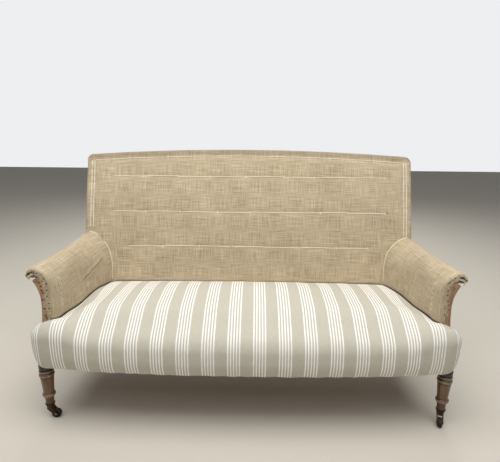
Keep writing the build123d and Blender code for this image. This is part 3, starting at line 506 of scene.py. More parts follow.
def webbing_finish():
    """A close ribbed weave with a dark line along each border."""
    finish = Finish("jute_webbing", roughness=0.9, specular=0.15)
    place = finish.weave_place()
    across, along, _ = finish.parts(place)
    off_middle = finish.math("ABSOLUTE", across)
    rib = threads(finish, across, RIB_PITCH)
    slant = finish.math("ADD", along, finish.math("MULTIPLY", off_middle, PICK_SLANT))
    pick = threads(finish, slant, PICK_PITCH)
    slub = finish.noise(finish.mapped(place, (500, 40, 1)), 1.0, 3)
    edge = finish.span(off_middle, *WEB_SELVEDGE)
    border = finish.span(finish.gap(off_middle, WEB_BORDER), *WEB_BORDER_EDGE, 1.0, 0.0)
    colour = finish.ramp(slub, (0.25, shade(136, 108, 72)), (0.75, shade(186, 156, 113)))
    colour = finish.mix(finish.math("MULTIPLY", border, 0.75), colour, shade(96, 66, 46))
    colour = finish.mix(finish.math("MULTIPLY", edge, 0.3), colour, shade(150, 122, 84))
    finish.colour(colour)
    finish.bump(finish.sum_of(rib, 0.6, pick, 0.5), 0.0007, 0.7)
    return finish.material


GRAIN_CLOSE, GRAIN_LONG = 38.0, 2.2
PORE_CLOSE, PORE_LONG = 420.0, 9.0


def along_grain(axis, close, long):
    """A texture's scale that draws it out along one axis."""
    return tuple(long if name == axis else close for name in "xyz")


def timber_finish(name, light, dark, axis, roughness, grain=1.0, coat=0.0, wear_and_highlights=None):
    """Wood with its grain along one axis of the piece."""
    finish = Finish(name, roughness=roughness, specular=0.4)
    place = finish.object_place()
    grain_place = finish.mapped(place, along_grain(axis, GRAIN_CLOSE, GRAIN_LONG))
    pore_place = finish.mapped(place, along_grain(axis, PORE_CLOSE, PORE_LONG))
    figure = finish.noise(grain_place, 1.0, 5, 0.6, 1.4)
    fine = finish.noise(pore_place, 1.0, 3, 0.6)
    cloud = finish.noise(place, 6.0, 2)
    tone = finish.swing(figure, 1.5 * grain, 0.5)
    tone = finish.swing(fine, 0.8 * grain, tone)
    tone = finish.swing(cloud, 0.6, tone, clamp=True)
    colour = finish.ramp(tone, (0.12, dark), (0.88, light))
    if wear_and_highlights:
        colour = wear_and_highlights(finish, place, colour)
    finish.colour(colour)
    finish.rough(finish.span(tone, 0.0, 1.0, roughness + 0.12, roughness - 0.08))
    finish.bump(finish.math("ADD", figure, finish.math("MULTIPLY", fine, 0.8)), 0.0006, 0.35)
    if coat:
        finish.shader.inputs["Coat Weight"].default_value = coat
        finish.shader.inputs["Coat Roughness"].default_value = 0.25
    return finish.material


LEG_COLLAR, LEG_ANKLE = (0.176, 0.2055), 0.0915
LEG_GROOVES, GROOVE_EDGE = (0.2045, 0.1920, 0.1755, 0.1085), (0.0008, 0.0034)
# Crests that carry a painted highlight.
LEG_CRESTS, CREST_EDGE = (0.1980, 0.1830, 0.0993), (0.0008, 0.0042)


def leg_wear_and_highlights(finish, place, colour):
    """A black collar, dark grooves, a painted highlight on each crest and a dark ankle."""
    _, _, up = finish.parts(place)
    scuff_and_glint = finish.noise(place, 140.0, 4, 0.7)
    worn = finish.span(scuff_and_glint, 0.62, 0.72, 1.0, 0.6)
    black = finish.math("MULTIPLY", finish.span(up, *LEG_COLLAR), worn)
    colour = finish.mix(black, colour, shade(34, 27, 23))
    for groove in LEG_GROOVES:
        dark = finish.span(finish.gap(up, groove), *GROOVE_EDGE, 0.9, 0.0)
        colour = finish.mix(dark, colour, shade(28, 21, 17))
    # Painted highlight: a pale line along each crest, broken up by the noise.
    for crest in LEG_CRESTS:
        crest_highlight = finish.span(finish.gap(up, crest), *CREST_EDGE, 0.8, 0.0)
        crest_highlight = finish.math("MULTIPLY", crest_highlight, finish.span(scuff_and_glint, 0.36, 0.56))
        colour = finish.mix(crest_highlight, colour, shade(178, 150, 118))
    ankle = finish.span(up, LEG_ANKLE - 0.002, LEG_ANKLE, 0.5, 0.0)
    return finish.mix(ankle, colour, shade(44, 30, 22))


def facing_wear(finish, place, colour):
    """Old tack holes and stains in the bare arm facings."""
    holes = finish.add("ShaderNodeTexVoronoi", voronoi_dimensions="2D")
    finish.join(finish.mapped(place, turn=(math.pi / 2, 0, 0)), holes.inputs["Vector"])
    holes.inputs["Scale"].default_value = 62.0
    pick = finish.noise(place, 30.0, 1)
    hole = finish.span(holes.outputs["Distance"], 0.14, 0.26, 1.0, 0.0)
    hole = finish.math("MULTIPLY", hole, finish.span(pick, 0.34, 0.42))
    side, _, _ = finish.parts(place)
    hole = finish.math("MULTIPLY", hole, finish.span(side, -0.1, 0.1, 1.0, 0.35))
    stain = finish.noise(place, 26.0, 4, 0.7)
    colour = finish.mix(finish.span(stain, 0.5, 0.75, 0.0, 0.65), colour, shade(84, 56, 36))
    return finish.mix(hole, colour, shade(50, 31, 21))


def metal_finish(name, light, dark, roughness, tarnish=60.0):
    """Metal with dull patches and fine specks."""
    finish = Finish(name, roughness=roughness, metallic=1.0)
    place = finish.object_place()
    patch = finish.noise(place, tarnish, 5, 0.65)
    speck = finish.noise(place, tarnish * 7, 2)
    tone = finish.swing(patch, 1.6, 0.5, clamp=True)
    finish.colour(finish.ramp(tone, (0.2, dark), (0.85, light)))
    finish.rough(finish.span(tone, 0.0, 1.0, min(roughness + 0.25, 1.0), roughness - 0.06))
    finish.bump(finish.math("ADD", patch, finish.math("MULTIPLY", speck, 0.4)), 0.0003, 0.4)
    return finish.material


def fibre_finish():
    """Curled fibre in clumps."""
    finish = Finish("fibre_stuffing", roughness=0.95, specular=0.1)
    place = finish.object_place()
    curl = finish.noise(place, 160.0, 6, 0.75, 2.5)
    clump = finish.noise(place, 22.0, 3)
    tone = finish.swing(clump, 0.8, curl, clamp=True)
    finish.colour(finish.ramp(tone, (0.25, shade(58, 42, 27)), (0.75, shade(140, 110, 72))))
    finish.bump(curl, 0.004, 0.8)
    return finish.material


def twine_finish():
    """Pale flecked thread."""
    finish = Finish("cream_twine", roughness=0.8, specular=0.25)
    place = finish.object_place()
    fleck = finish.noise(place, 700.0, 2)
    finish.colour(finish.ramp(fleck, (0.3, shade(232, 222, 198)), (0.7, shade(252, 248, 236))))
    finish.bump(fleck, 0.0004, 0.5)
    return finish.material


hessian = hessian_finish("hessian", shade(230, 213, 182), shade(165, 147, 116), 0.0023)
lining_cloth = hessian_finish("lining_hessian", shade(186, 160, 120), shade(136, 112, 78), 0.0021)
ticking = ticking_finish()
jute = webbing_finish()
fibre = fibre_finish()
twine = twine_finish()
leg_wood = timber_finish(
    "turned_leg_wood", shade(140, 103, 72), shade(76, 53, 36), "z", 0.40, 1.2, coat=0.3, wear_and_highlights=leg_wear_and_highlights
)
back_leg_wood = timber_finish("back_leg_wood", shade(134, 98, 66), shade(88, 60, 38), "z", 0.5)
facing_wood = timber_finish(
    "arm_facing_wood", shade(190, 158, 122), shade(142, 108, 78), "z", 0.62, 1.2, wear_and_highlights=facing_wear
)
wood_along_x = timber_finish("frame_wood_across", shade(190, 156, 112), shade(146, 110, 72), "x", 0.6)
wood_along_y = timber_finish("frame_wood_deep", shade(188, 154, 110), shade(144, 108, 70), "y", 0.6)
wood_upright = timber_finish("frame_wood_upright", shade(188, 154, 110), shade(144, 108, 70), "z", 0.6)
castor_brass = metal_finish("castor_brass", shade(94, 74, 52), shade(46, 37, 28), 0.45)
castor_steel = metal_finish("castor_steel", shade(150, 146, 138), shade(82, 78, 72), 0.4)
castor_iron = metal_finish("castor_wheel", shade(72, 64, 56), shade(34, 30, 27), 0.5)
tack_steel = metal_finish("tack_steel", shade(62, 58, 56), shade(28, 26, 25), 0.42, 220.0)
spring_wire = metal_finish("spring_wire", shade(168, 124, 92), shade(96, 68, 50), 0.38, 90.0)


def set_material(piece, material):
    piece.data.materials.clear()
    piece.data.materials.append(material)


def finish_piece(piece, material, body="frame"):
    set_material(piece, material)
    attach(piece, body)


# The frame's own pieces keep their shapes and get their woods and metals
for material, wooden in (
    (leg_wood, ("front_leg_left", "front_leg_right")),
    (back_leg_wood, ("back_leg_left", "back_leg_right")),
    (facing_wood, ("arm_post_left", "arm_post_right")),
    (wood_along_x, ("front_seat_rail", "back_seat_rail", "top_back_rail", "lower_back_rail")),
    (wood_along_y, ("side_seat_rail_left", "side_seat_rail_right")),
    (wood_along_y, ("arm_top_rail_left", "arm_top_rail_right")),
    (wood_along_y, ("arm_lower_rail_left", "arm_lower_rail_right")),
    (wood_upright, ("corner_blocks", "centre_back_upright")),
):
    for node in wooden:
        set_material(nodes[node], material)
for corner in ("front_left", "front_right", "back_left", "back_right"):
    for kind, material in (
        ("cup", castor_brass),
        ("horn", castor_brass),
        ("axle", castor_steel),
        ("wheel", castor_iron),
    ):
        set_material(nodes[f"castor_{kind}_{corner}"], material)


# The striped seat: a crown over the springs, drawn in to a hem under the front rail
CORE_HALF = SEAT_HALF - SEAT_ROUND - SEAT_CORNER
CORE_FRONT = SEAT_FRONT + SEAT_ROUND + SEAT_CORNER
CORE_BACK = SEAT_BACK - SEAT_ROUND - SEAT_CORNER
turn_table = np.linspace(0, math.pi / 2, 400)
crown_steps = np.hypot(SEAT_ROUND * np.cos(turn_table), (SEAT_TOP - SEAT_BELLY) * np.sin(turn_table))
crown_table = np.concatenate(([0], np.cumsum((crown_steps[1:] + crown_steps[:-1]) / 2 * turn_table[1])))
CROWN_LONG = crown_table[-1]
WALL_LONG = math.hypot(SEAT_BELLY - SEAT_HEM, HEM_INSET)
HEM_TURN, HEM_LIP, HEM_CURVE = 0.018, 0.0045, 3.5
SEAT_REACH = SEAT_CORNER + CROWN_LONG + WALL_LONG + HEM_TURN
STRIPE_HANG = (0.25, 0.95)


def seat_profile(reach):
    """How far out, how round at the corner, how high and how crowned the seat is at a reach over its edge."""
    turn = np.interp(reach - SEAT_CORNER, crown_table, turn_table)
    wall = np.clip((reach - SEAT_CORNER - CROWN_LONG) / WALL_LONG, 0, 1)
    hem = np.clip((reach - SEAT_CORNER - CROWN_LONG - WALL_LONG) / HEM_TURN, 0, 1)
    flat = np.minimum(reach, SEAT_CORNER)
    drawn_in = HEM_INSET * wall**HEM_CURVE + HEM_TURN * hem
    out = flat + SEAT_ROUND * np.sin(turn) - drawn_in
    radius = flat - drawn_in
    height = SEAT_BELLY + (SEAT_TOP - SEAT_BELLY) * np.cos(turn) - (SEAT_BELLY - SEAT_HEM) * wall
    height -= HEM_LIP * np.sin(np.minimum(hem * 3, 1) * math.pi / 2)
    return out, radius, height, np.cos(turn)


def round_corner(out, radius, over_side, over_end):
    """How far a cloth goes to the side and to the end at a rounded corner, and its way round there."""
    straight = out - radius
    total = 2 * straight + radius * math.pi / 2
    ratio = np.minimum(over_side, over_end) / np.maximum(np.maximum(over_side, over_end), 1e-9)
    way = np.where(over_side <= over_end, ratio / 2, 1 - ratio / 2) * total
    angle = np.clip((way - straight) / np.maximum(radius, 1e-9), 0, math.pi / 2)
    to_side = np.minimum(way, straight) + radius * np.sin(angle)
    to_end = straight + radius * np.cos(angle) - np.maximum(way - straight - radius * math.pi / 2, 0)
    return to_side, to_end, way


def seat_place(across, along):
    """Across runs from side to side, along runs from the hem over the front to the back."""
    side = (across - 0.5) * 2 * (CORE_HALF + SEAT_REACH)
    back_reach = SEAT_CORNER + CROWN_LONG
    deep = CORE_FRONT - SEAT_REACH + along * (SEAT_REACH + CORE_BACK - CORE_FRONT + back_reach)
    core_x = np.minimum(np.abs(side), CORE_HALF)
    core_y = np.clip(deep, CORE_FRONT, CORE_BACK)
    over_side = np.abs(side) - core_x
    over_end = np.abs(deep - core_y)
    out, radius, height, crowned = seat_profile(np.maximum(over_side, over_end))
    to_side, to_end, way = round_corner(out, radius, over_side, over_end)
    x = core_x + to_side
    y = core_y + np.sign(deep - core_y) * to_end
    wrapped = core_x + way + np.where(over_side > 0, core_y - CORE_FRONT, 0)
    front_share = np.clip((CORE_BACK - y) / (CORE_BACK - CORE_FRONT), 0, 1)
    y = y + FRONT_BOW * (x / SEAT_HALF) ** 2 * front_share
    z = height - y * np.tan(SEAT_RAKE * crowned)
    hang = smoothstep(*STRIPE_HANG, 1 - crowned)
    stripe = x + (wrapped - x) * hang
    sign = np.sign(side)
    return np.stack((sign * x, y, z), axis=1), np.stack((sign * stripe, deep), axis=1)


def arm_share(y):
    return (y - ARM_FRONT) / (ARM_MEET - ARM_FRONT)


def arm_inner(y):
    return ARM_INNER_FRONT + (ARM_INNER_BACK - ARM_INNER_FRONT) * arm_share(y)


def back_face(up):
    """How far the back's face stands out of the back's plane at a rise."""
    chord = math.hypot(BACK_HIGH, BACK_SWELL - BACK_TOP_THICK)
    radius = (chord**2 / 4 + BACK_CROWN**2) / (2 * BACK_CROWN)
    bulge = np.sqrt(radius**2 - (up - BACK_HIGH / 2) ** 2) - radius + BACK_CROWN
    return BACK_SWELL + (BACK_TOP_THICK - BACK_SWELL) / BACK_HIGH * up + bulge


def face_depth(z):
    """How deep the back's face lies at a height."""
    up = (z - RAIL_TOP) / math.cos(LEAN)
    for _ in range(3):
        up = (z - RAIL_TOP - back_face(up) * math.sin(LEAN)) / math.cos(LEAN)
    return STILE_Y + up * math.sin(LEAN) - back_face(up) * math.cos(LEAN)


DIP_LEFT, DIP_RIGHT, DIP_WIDE = 0.030, 0.020, 0.080
DIP_FRONT, DIP_BACK = (ARM_FRONT - 0.05, ARM_FRONT + 0.03), (0.0, -0.17)
TUCK_DEEP, TUCK_WIDE, TUCK_FRONT = 0.005, 0.010, (ARM_FRONT - 0.01, ARM_FRONT + 0.02)
REAR_DEEP, REAR_WIDE, REAR_HEIGHT = 0.004, 0.020, 0.405
DROP_MOST, DROP_HEIGHT = 0.036, (0.345, 0.375)
FRONT_MIDDLE = (0.70, 0.54)
FRONT_FALL, FALL_DEPTH, FALL_HEIGHT = 0.027, (-0.20, -0.33), (SEAT_HEM, 0.345)
FRONT_FULL, FULL_DEPTH, FULL_HEIGHT = 0.010, (-0.29, -0.345), (SEAT_HEM - 0.03, SEAT_HEM)
DOME, DOME_Y, DOME_REACH, DOME_HALF, DOME_HEIGHT = 0.026, -0.045, 0.20, 0.60, (0.365, 0.395)


def tucked(points):
    """Domes the seat's top and draws it down beside the arms, under the back and over its front edge."""
    x, y, z = points.T
    beside = np.maximum(arm_inner(y) - np.abs(x), 0)
    behind = np.maximum(face_depth(np.full_like(z, REAR_HEIGHT)) - y, 0)
    middle = smoothstep(*FRONT_MIDDLE, np.abs(x))
    fall = FRONT_FALL * smoothstep(*FALL_DEPTH, y) * middle * smoothstep(*FALL_HEIGHT, z)
    forward = FRONT_FULL * smoothstep(*FULL_DEPTH, y) * middle * smoothstep(*FULL_HEIGHT, z)
    dome = DOME * np.cos(np.clip((y - DOME_Y) / DOME_REACH, -1, 1) * math.pi / 2) ** 2
    dome *= np.clip(1 - (x / DOME_HALF) ** 2, 0, 1) * smoothstep(*DOME_HEIGHT, z)
    along_arm = smoothstep(*DIP_FRONT, y) * smoothstep(*DIP_BACK, y)
    deep = np.where(x < 0, DIP_LEFT, DIP_RIGHT)
    dip = deep * np.exp(-((beside / DIP_WIDE) ** 2)) * along_arm
    tuck = TUCK_DEEP * np.exp(-((beside / TUCK_WIDE) ** 2)) * smoothstep(*TUCK_FRONT, y)
    drop = dip + tuck + REAR_DEEP * np.exp(-((behind / REAR_WIDE) ** 2))
    drop = np.minimum(drop, DROP_MOST) * smoothstep(*DROP_HEIGHT, z)
    return np.stack((x, y - forward, z + dome - fall - drop), axis=1)


def turn_down(piece, edge, deep):
    """Draws chosen points of an open edge straight down as a new strip of cloth."""
    work_on(piece)
    bpy.ops.object.mode_set(mode="EDIT")
    bpy.ops.mesh.select_mode(type="VERT")
    bpy.ops.mesh.select_all(action="DESELECT")
    bpy.ops.object.mode_set(mode="OBJECT")
    for number in np.nonzero(edge)[0]:
        piece.data.vertices[int(number)].select = True
    bpy.ops.object.mode_set(mode="EDIT")
    bpy.ops.mesh.select_mode(type="EDGE")
    bpy.ops.mesh.extrude_edges_move(TRANSFORM_OT_translate={"value": (0, 0, -deep)})
    bpy.ops.object.mode_set(mode="OBJECT")


SEAT_COLUMNS, SEAT_ROWS, SEAT_FILL, SEAT_HELD = 264, 112, 0.008, SEAT_HEM + 0.006
SEAT_RAW_EDGE, SEAT_TURNED, SEAT_ARM_GAP = ARM_FRONT - 0.002, 0.030, 0.0050
SEAT_LUMP, SEAT_LUMP_SIZE, SEAT_LUMP_SHAPE = 0.0014, 0.085, np.array((1.0, 1.0, 1.6))
FRONT_WALL_Y, FRONT_WALL_Z = (-0.30, -0.34), (0.36, 0.33)
PULL_DEEP, PULL_PITCH, PULL_DRIFT, PULL_HEIGHT = 0.0009, 0.0117, 0.061, (0.29, 0.235)
COVER_THICK = 0.0014


def make_seat():
    """The cover cut round the arms and the back, filled, tucked in and turned down at its raw edges."""
    seat = cloth_grid("seat_ticking", SEAT_COLUMNS, SEAT_ROWS, seat_place)
    slope = (ARM_INNER_FRONT - ARM_INNER_BACK) / (ARM_MEET - ARM_FRONT)
    slice_at(seat, (0, SEAT_RAW_EDGE, 0), (0, 1, 0))
    for sign, _ in SIDES:
        slice_at(seat, (sign * (ARM_INNER_FRONT - SEAT_ARM_GAP), ARM_FRONT, 0), (sign, slope, 0))
    delete_where(
        seat,
        lambda middle: middle.y > SEAT_RAW_EDGE
        and (abs(middle.x) > arm_inner(middle.y) - SEAT_ARM_GAP or middle.z < RAIL_TOP + SEAT_TURNED),
    )
    swell(seat, edge_points(seat) | (points_of(seat)[:, 2] < SEAT_HELD), SEAT_FILL)
    set_points(seat, tucked(points_of(seat)))
    co = points_of(seat)
    front = smoothstep(*FRONT_WALL_Y, co[:, 1]) * smoothstep(*FRONT_WALL_Z, co[:, 2])
    uneven = SEAT_LUMP * lumps(co * SEAT_LUMP_SHAPE, SEAT_LUMP_SIZE, 1.3) * (1 - 0.5 * front)
    pulls = np.sin(co[:, 0] / PULL_PITCH + 2 * np.sin(co[:, 0] / PULL_DRIFT))
    pulls *= PULL_DEEP * front * smoothstep(*PULL_HEIGHT, co[:, 2])
    set_points(seat, co + normals_of(seat) * (uneven + pulls)[:, None])
    turn_down(seat, edge_points(seat) & (points_of(seat)[:, 1] > SEAT_RAW_EDGE + 0.002), SEAT_TURNED)
    thicken(seat, COVER_THICK)
    smooth_shade(seat, 60)
    finish_piece(seat, ticking)
    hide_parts("seat_cover")
    return seat


seat = make_seat()
seat_skin = surface(seat)

# The hessian back: a long pad with a stitched roll round its edge
ROLL_LONG = BACK_ROLL * math.pi / 2
SIDE_LONG = 0.125
REAR_TURN = 0.026
BACK_REACH = BACK_CORNER + ROLL_LONG + SIDE_LONG + REAR_TURN
BACK_CORE = BACK_HALF - BACK_ROLL - BACK_CORNER
BACK_CORE_TOP = BACK_EDGE - BACK_ROLL - BACK_CORNER
BACK_LOW = 0.046
BACK_COVER = 0.0015
NOTCH_X, NOTCH_TOP = 0.683, POST_TOP + 0.001
BORDER_SIDE, BORDER_TOP, BORDER_ROOM = 0.038, 0.031, 0.02
BORDER_GROOVE, BORDER_GROOVE_WIDE = 0.0034, 0.007
ARCH_RISE = (0.15, 0.58)
TIE_PITCH, TIE_STRAY, TIE_WANDER = 0.152, 0.018, 0.002
TIE_GROOVE, TIE_GROOVE_WIDE, TIE_PIT, TIE_PIT_WIDE = 0.0016, 0.010, 0.0034, 0.011
BACK_COLUMNS, BACK_ROWS, BACK_FILL, BACK_HELD = 236, 104, 0.005, 0.024
BACK_SHOWN = (-0.020, -0.008)
BACK_LUMPS = ((0.0018, 0.085, 0.4), (0.0010, 0.034, 1.9))
# Painted shade: darker along the back's top roll and in the crevice where the back meets the seat.
ROLL_SHADE, ROLL_SHADED = 0.40, (-0.026, -0.014)
CREVICE_SHADE, CREVICE_STEP = 0.8, 0.012


def back_world(x, up, out):
    """A place given across, up and out of the back's plane."""
    y = STILE_Y + up * math.sin(LEAN) - out * math.cos(LEAN)
    z = RAIL_TOP + up * math.cos(LEAN) + out * math.sin(LEAN)
    return np.stack(np.broadcast_arrays(x, y, z), axis=-1)


def back_local(points):
    """Across, up and out of the back's plane."""
    y, z = points[:, 1] - STILE_Y, points[:, 2] - RAIL_TOP
    up = y * math.sin(LEAN) + z * math.cos(LEAN)
    out = -y * math.cos(LEAN) + z * math.sin(LEAN)
    return points[:, 0], up, out


def arch(x):
    """How much higher the back's top is than at its sides."""
    return (BACK_HIGH - BACK_EDGE) * (1 - (x / BACK_HALF) ** 2)


def back_place(across, along):
    """Across runs from side to side, along runs up the face and over the top to the rear."""
    side = (across - 0.5) * 2 * (BACK_CORE + BACK_REACH)
    rise = BACK_LOW + along * (BACK_CORE_TOP - BACK_LOW + BACK_REACH)
    core_x = np.minimum(np.abs(side), BACK_CORE)
    core_up = np.minimum(rise, BACK_CORE_TOP)
    over_side, over_top = np.abs(side) - core_x, rise - core_up
    reach = np.maximum(over_side, over_top)
    turn = np.clip((reach - BACK_CORNER) / ROLL_LONG, 0, 1) * math.pi / 2
    back_share = np.clip((reach - BACK_CORNER - ROLL_LONG) / SIDE_LONG, 0, 1)
    rear = np.clip((reach - BACK_CORNER - ROLL_LONG - SIDE_LONG) / REAR_TURN, 0, 1)
    flat = np.minimum(reach, BACK_CORNER)
    out = flat + BACK_ROLL * np.sin(turn) - REAR_TURN * rear
    to_side, to_top, _ = round_corner(out, np.maximum(flat - REAR_TURN * rear, 0), over_side, over_top)
    x, up = core_x + to_side, core_up + to_top
    deep = back_face(np.minimum(up, BACK_EDGE)) - BACK_ROLL * (1 - np.cos(turn))
    deep = deep + (-STILE_DEEP - BACK_COVER - deep) * back_share - BACK_COVER * np.minimum(rear * 4, 1)
    up = up + arch(x) * smoothstep(*ARCH_RISE, up)
    return back_world(np.sign(side) * x, up, deep), np.stack((side, rise), axis=1)


def border_top(x):
    return BACK_EDGE + arch(x) - BORDER_TOP


def tie_places():
    """The ends of the long stitches across the back, row by row."""
    pick = np.random.default_rng(7)
    rows = []
    for row, half in zip(TIE_ROWS, TIE_HALVES):
        count = round(2 * half / TIE_PITCH)
        places = np.linspace(-half, half, count + 1)
        places[1:-1] += pick.uniform(-TIE_STRAY, TIE_STRAY, count - 1)
        rows.append((row + pick.uniform(-TIE_WANDER, TIE_WANDER, count + 1), places))
    return rows


def notch_for_arms(piece):
    """Cuts the lower corners out of a cloth of the back, where the arms stand."""
    slice_at(piece, (0, 0, NOTCH_TOP), (0, 0, 1))
    for sign, _ in SIDES:
        slice_at(piece, (sign * NOTCH_X, 0, 0), (1, 0, 0))
    delete_where(piece, lambda middle: abs(middle.x) > NOTCH_X and middle.z < NOTCH_TOP)


def make_back(ties):
    """The cover filled, drawn in along its border and its ties, with painted shade at its roll and its foot.
    """
    back = cloth_grid("back_hessian", BACK_COLUMNS, BACK_ROWS, back_place)
    notch_for_arms(back)
    _, up, out = back_local(points_of(back))
    held = edge_points(back) | (out < back_face(np.minimum(up, BACK_EDGE)) - BACK_HELD)
    swell(back, held, BACK_FILL)
    co = points_of(back)
    x, up, out = back_local(co)
    shown = smoothstep(*BACK_SHOWN, out - back_face(np.minimum(up, BACK_EDGE)))
    to_border = np.minimum(np.abs(BACK_HALF - BORDER_SIDE - np.abs(x)), np.abs(border_top(x) - up))
    inside = (np.abs(x) < BACK_HALF - BORDER_SIDE + BORDER_ROOM) & (up < border_top(x) + BORDER_ROOM)
    moved = -BORDER_GROOVE * np.exp(-((to_border / BORDER_GROOVE_WIDE) ** 2)) * inside
    for heights, places in ties:
        level = np.interp(x, places, heights)
        reach = smoothstep(places[-1] + 0.02, places[-1] - 0.03, np.abs(x))
        moved -= TIE_GROOVE * np.exp(-(((up - level) / TIE_GROOVE_WIDE) ** 2)) * reach
        for height, place in zip(heights, places):
            moved -= TIE_PIT * np.exp(-(((up - height) ** 2 + (x - place) ** 2) / TIE_PIT_WIDE**2))
    moved += unevenness(co, BACK_LUMPS)
    set_points(back, co + normals_of(back) * (shown * moved)[:, None])
    thicken(back, COVER_THICK)
    co = points_of(back)
    x, up, _ = back_local(co)
    # Painted shade along the top roll and in the crevice just above the seat.
    roll_shade = ROLL_SHADE * smoothstep(*ROLL_SHADED, up - BACK_EDGE - arch(x))
    near_seat = crevice(co, seat_skin, np.array((0, -CREVICE_STEP, 0)))
    set_painted_shade(back, np.maximum(roll_shade, CREVICE_SHADE * near_seat))
    smooth_shade(back, 60)
    finish_piece(back, hessian)
    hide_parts("back_cover", "back_pad")
    return back


ties = tie_places()
back = make_back(ties)


# The arms: a wall up from the seat, a rounded top and a small roll outwards
def arc_from(start, heading, end, count):
    """Points on the arc that leaves a point along a heading and reaches another, and its last heading."""
    chord = end - start
    side = np.array((heading[1], -heading[0]))
    bend = 2 * chord.dot(side) / chord.dot(chord)
    full = 2 * math.atan2(chord.dot(side), chord.dot(heading))
    steps = np.linspace(0, full, count)
    points = start + (np.outer(np.sin(steps), heading) + np.outer(1 - np.cos(steps), side)) / bend
    return points, math.cos(full) * heading + math.sin(full) * side


def line_between(start, end, count):
    return start + np.outer(np.linspace(0, 1, count + 1)[1:], np.asarray(end) - start)


ARM_UNDER, ARM_LOW = POST_TOP + 0.0005, RAIL_TOP + 0.014
SHOULDER_OUT, SHOULDER_DROP, SHOULDER_FALL = 0.008, 0.064, 0.050
NOSE_DROP, NOSE_TUCK = 0.020, 0.008
FLANGE, FLANGE_OFF = 0.024, 0.0015


def rail_outer(y):
    """The outer face of the cloth on the arm's top rail."""
    taper = (POST_INNER - ARM_RAIL_BACK) * (y - ARM_FRONT) / (STILE_Y - ARM_FRONT)
    return POST_INNER + ARM_RAIL_THICK + FLANGE_OFF - taper


def arm_section(y):
    """The right arm's outline at a depth, from the seat up and over to the outer face of its rail."""
    share = arm_share(y)
    inner, tip = arm_inner(y), ARM_TIP_FRONT + (ARM_TIP_BACK - ARM_TIP_FRONT) * share
    low = np.array((inner, ARM_LOW))
    shoulder = np.array((inner + SHOULDER_OUT * share, ARM_TOP - SHOULDER_DROP - SHOULDER_FALL * share))
    heading = (shoulder - low) / np.linalg.norm(shoulder - low)
    wall = line_between(low, shoulder, 25)
    rise, heading = arc_from(shoulder, heading, np.array(((inner + tip) / 2, ARM_TOP)), 20)
    nose = np.array((tip, ARM_TOP - NOSE_DROP))
    roll, heading = arc_from(rise[-1], heading, nose, 18)
    round_end, _ = arc_from(nose, heading, np.array((tip - NOSE_TUCK, ARM_UNDER)), 8)
    corner = np.array((rail_outer(y), ARM_UNDER))
    under = line_between(round_end[-1], corner, 8)
    flange = line_between(corner, corner - np.array((0, FLANGE)), 6)
    return np.concatenate(([low], wall, rise[1:], roll[1:], round_end[1:], under, flange))


def resample(line, count):
    """Even steps along a line, and the way to each."""
    way = np.concatenate(([0], np.cumsum(np.linalg.norm(np.diff(line, axis=0), axis=1))))
    wanted = np.linspace(0, way[-1], count)
    return np.stack([np.interp(wanted, way, line[:, axis]) for axis in range(2)], axis=1), wanted


ARM_ROUND_COUNT, ARM_DEEP_COUNT, LAP_COUNT = 104, 76, 14
ARM_REAR = 0.24
STILE_FRONT = 0.256
FRONT_ROLL, ROLL_FULL = 0.011, 1.25
LAP_LONG, LAP_ROOM, LAP_LEAST, LAP_PRESS = 0.015, 0.006, 0.002, 0.0012
section_front, section_way = resample(arm_section(ARM_FRONT), ARM_ROUND_COUNT + 1)
section_rear, _ = resample(arm_section(ARM_REAR), ARM_ROUND_COUNT + 1)
nose_way = section_way[np.argmax(section_front[:, 0])]
top_way = section_way[np.argmax(section_front[:, 1])]
SWEEP_OUT, SWEEP_EASE, SWEEP_DEPTH = 0.024, 0.6, (-0.12, 0.13)
SWEEP_UP = {1: 0.001, -1: 0.013}
SWEEP_BELOW, SWEEP_PAST = 0.10, 0.02
ARM_OUTER, HIDDEN_LONG, HIDDEN_OUTER = (0.70, 0.735), 0.012, 0.045
UNDER_FROM, UNDER_FULL, NOSE_SHUT, NOSE_OPEN = 0.075, 0.055, 0.004, 0.014
SPINE = np.array(((0.728, 0.300), (0.7285, 0.480), (0.735, 0.515), (0.757, 0.537)))


def spine_point(points):
    """The nearest place on the middle line of the bare facing, and how far it is."""
    best = np.full(len(points), np.inf)
    found = np.zeros_like(points)
    for start, end in zip(SPINE[:-1], SPINE[1:]):
        run = end - start
        share = np.clip((points - start) @ run / run.dot(run), 0, 1)
        place = start + share[:, None] * run
        gap = np.linalg.norm(points - place, axis=1)
        nearer = gap < best
        best = np.where(nearer, gap, best)
        found[nearer] = place[nearer]
    return found, best


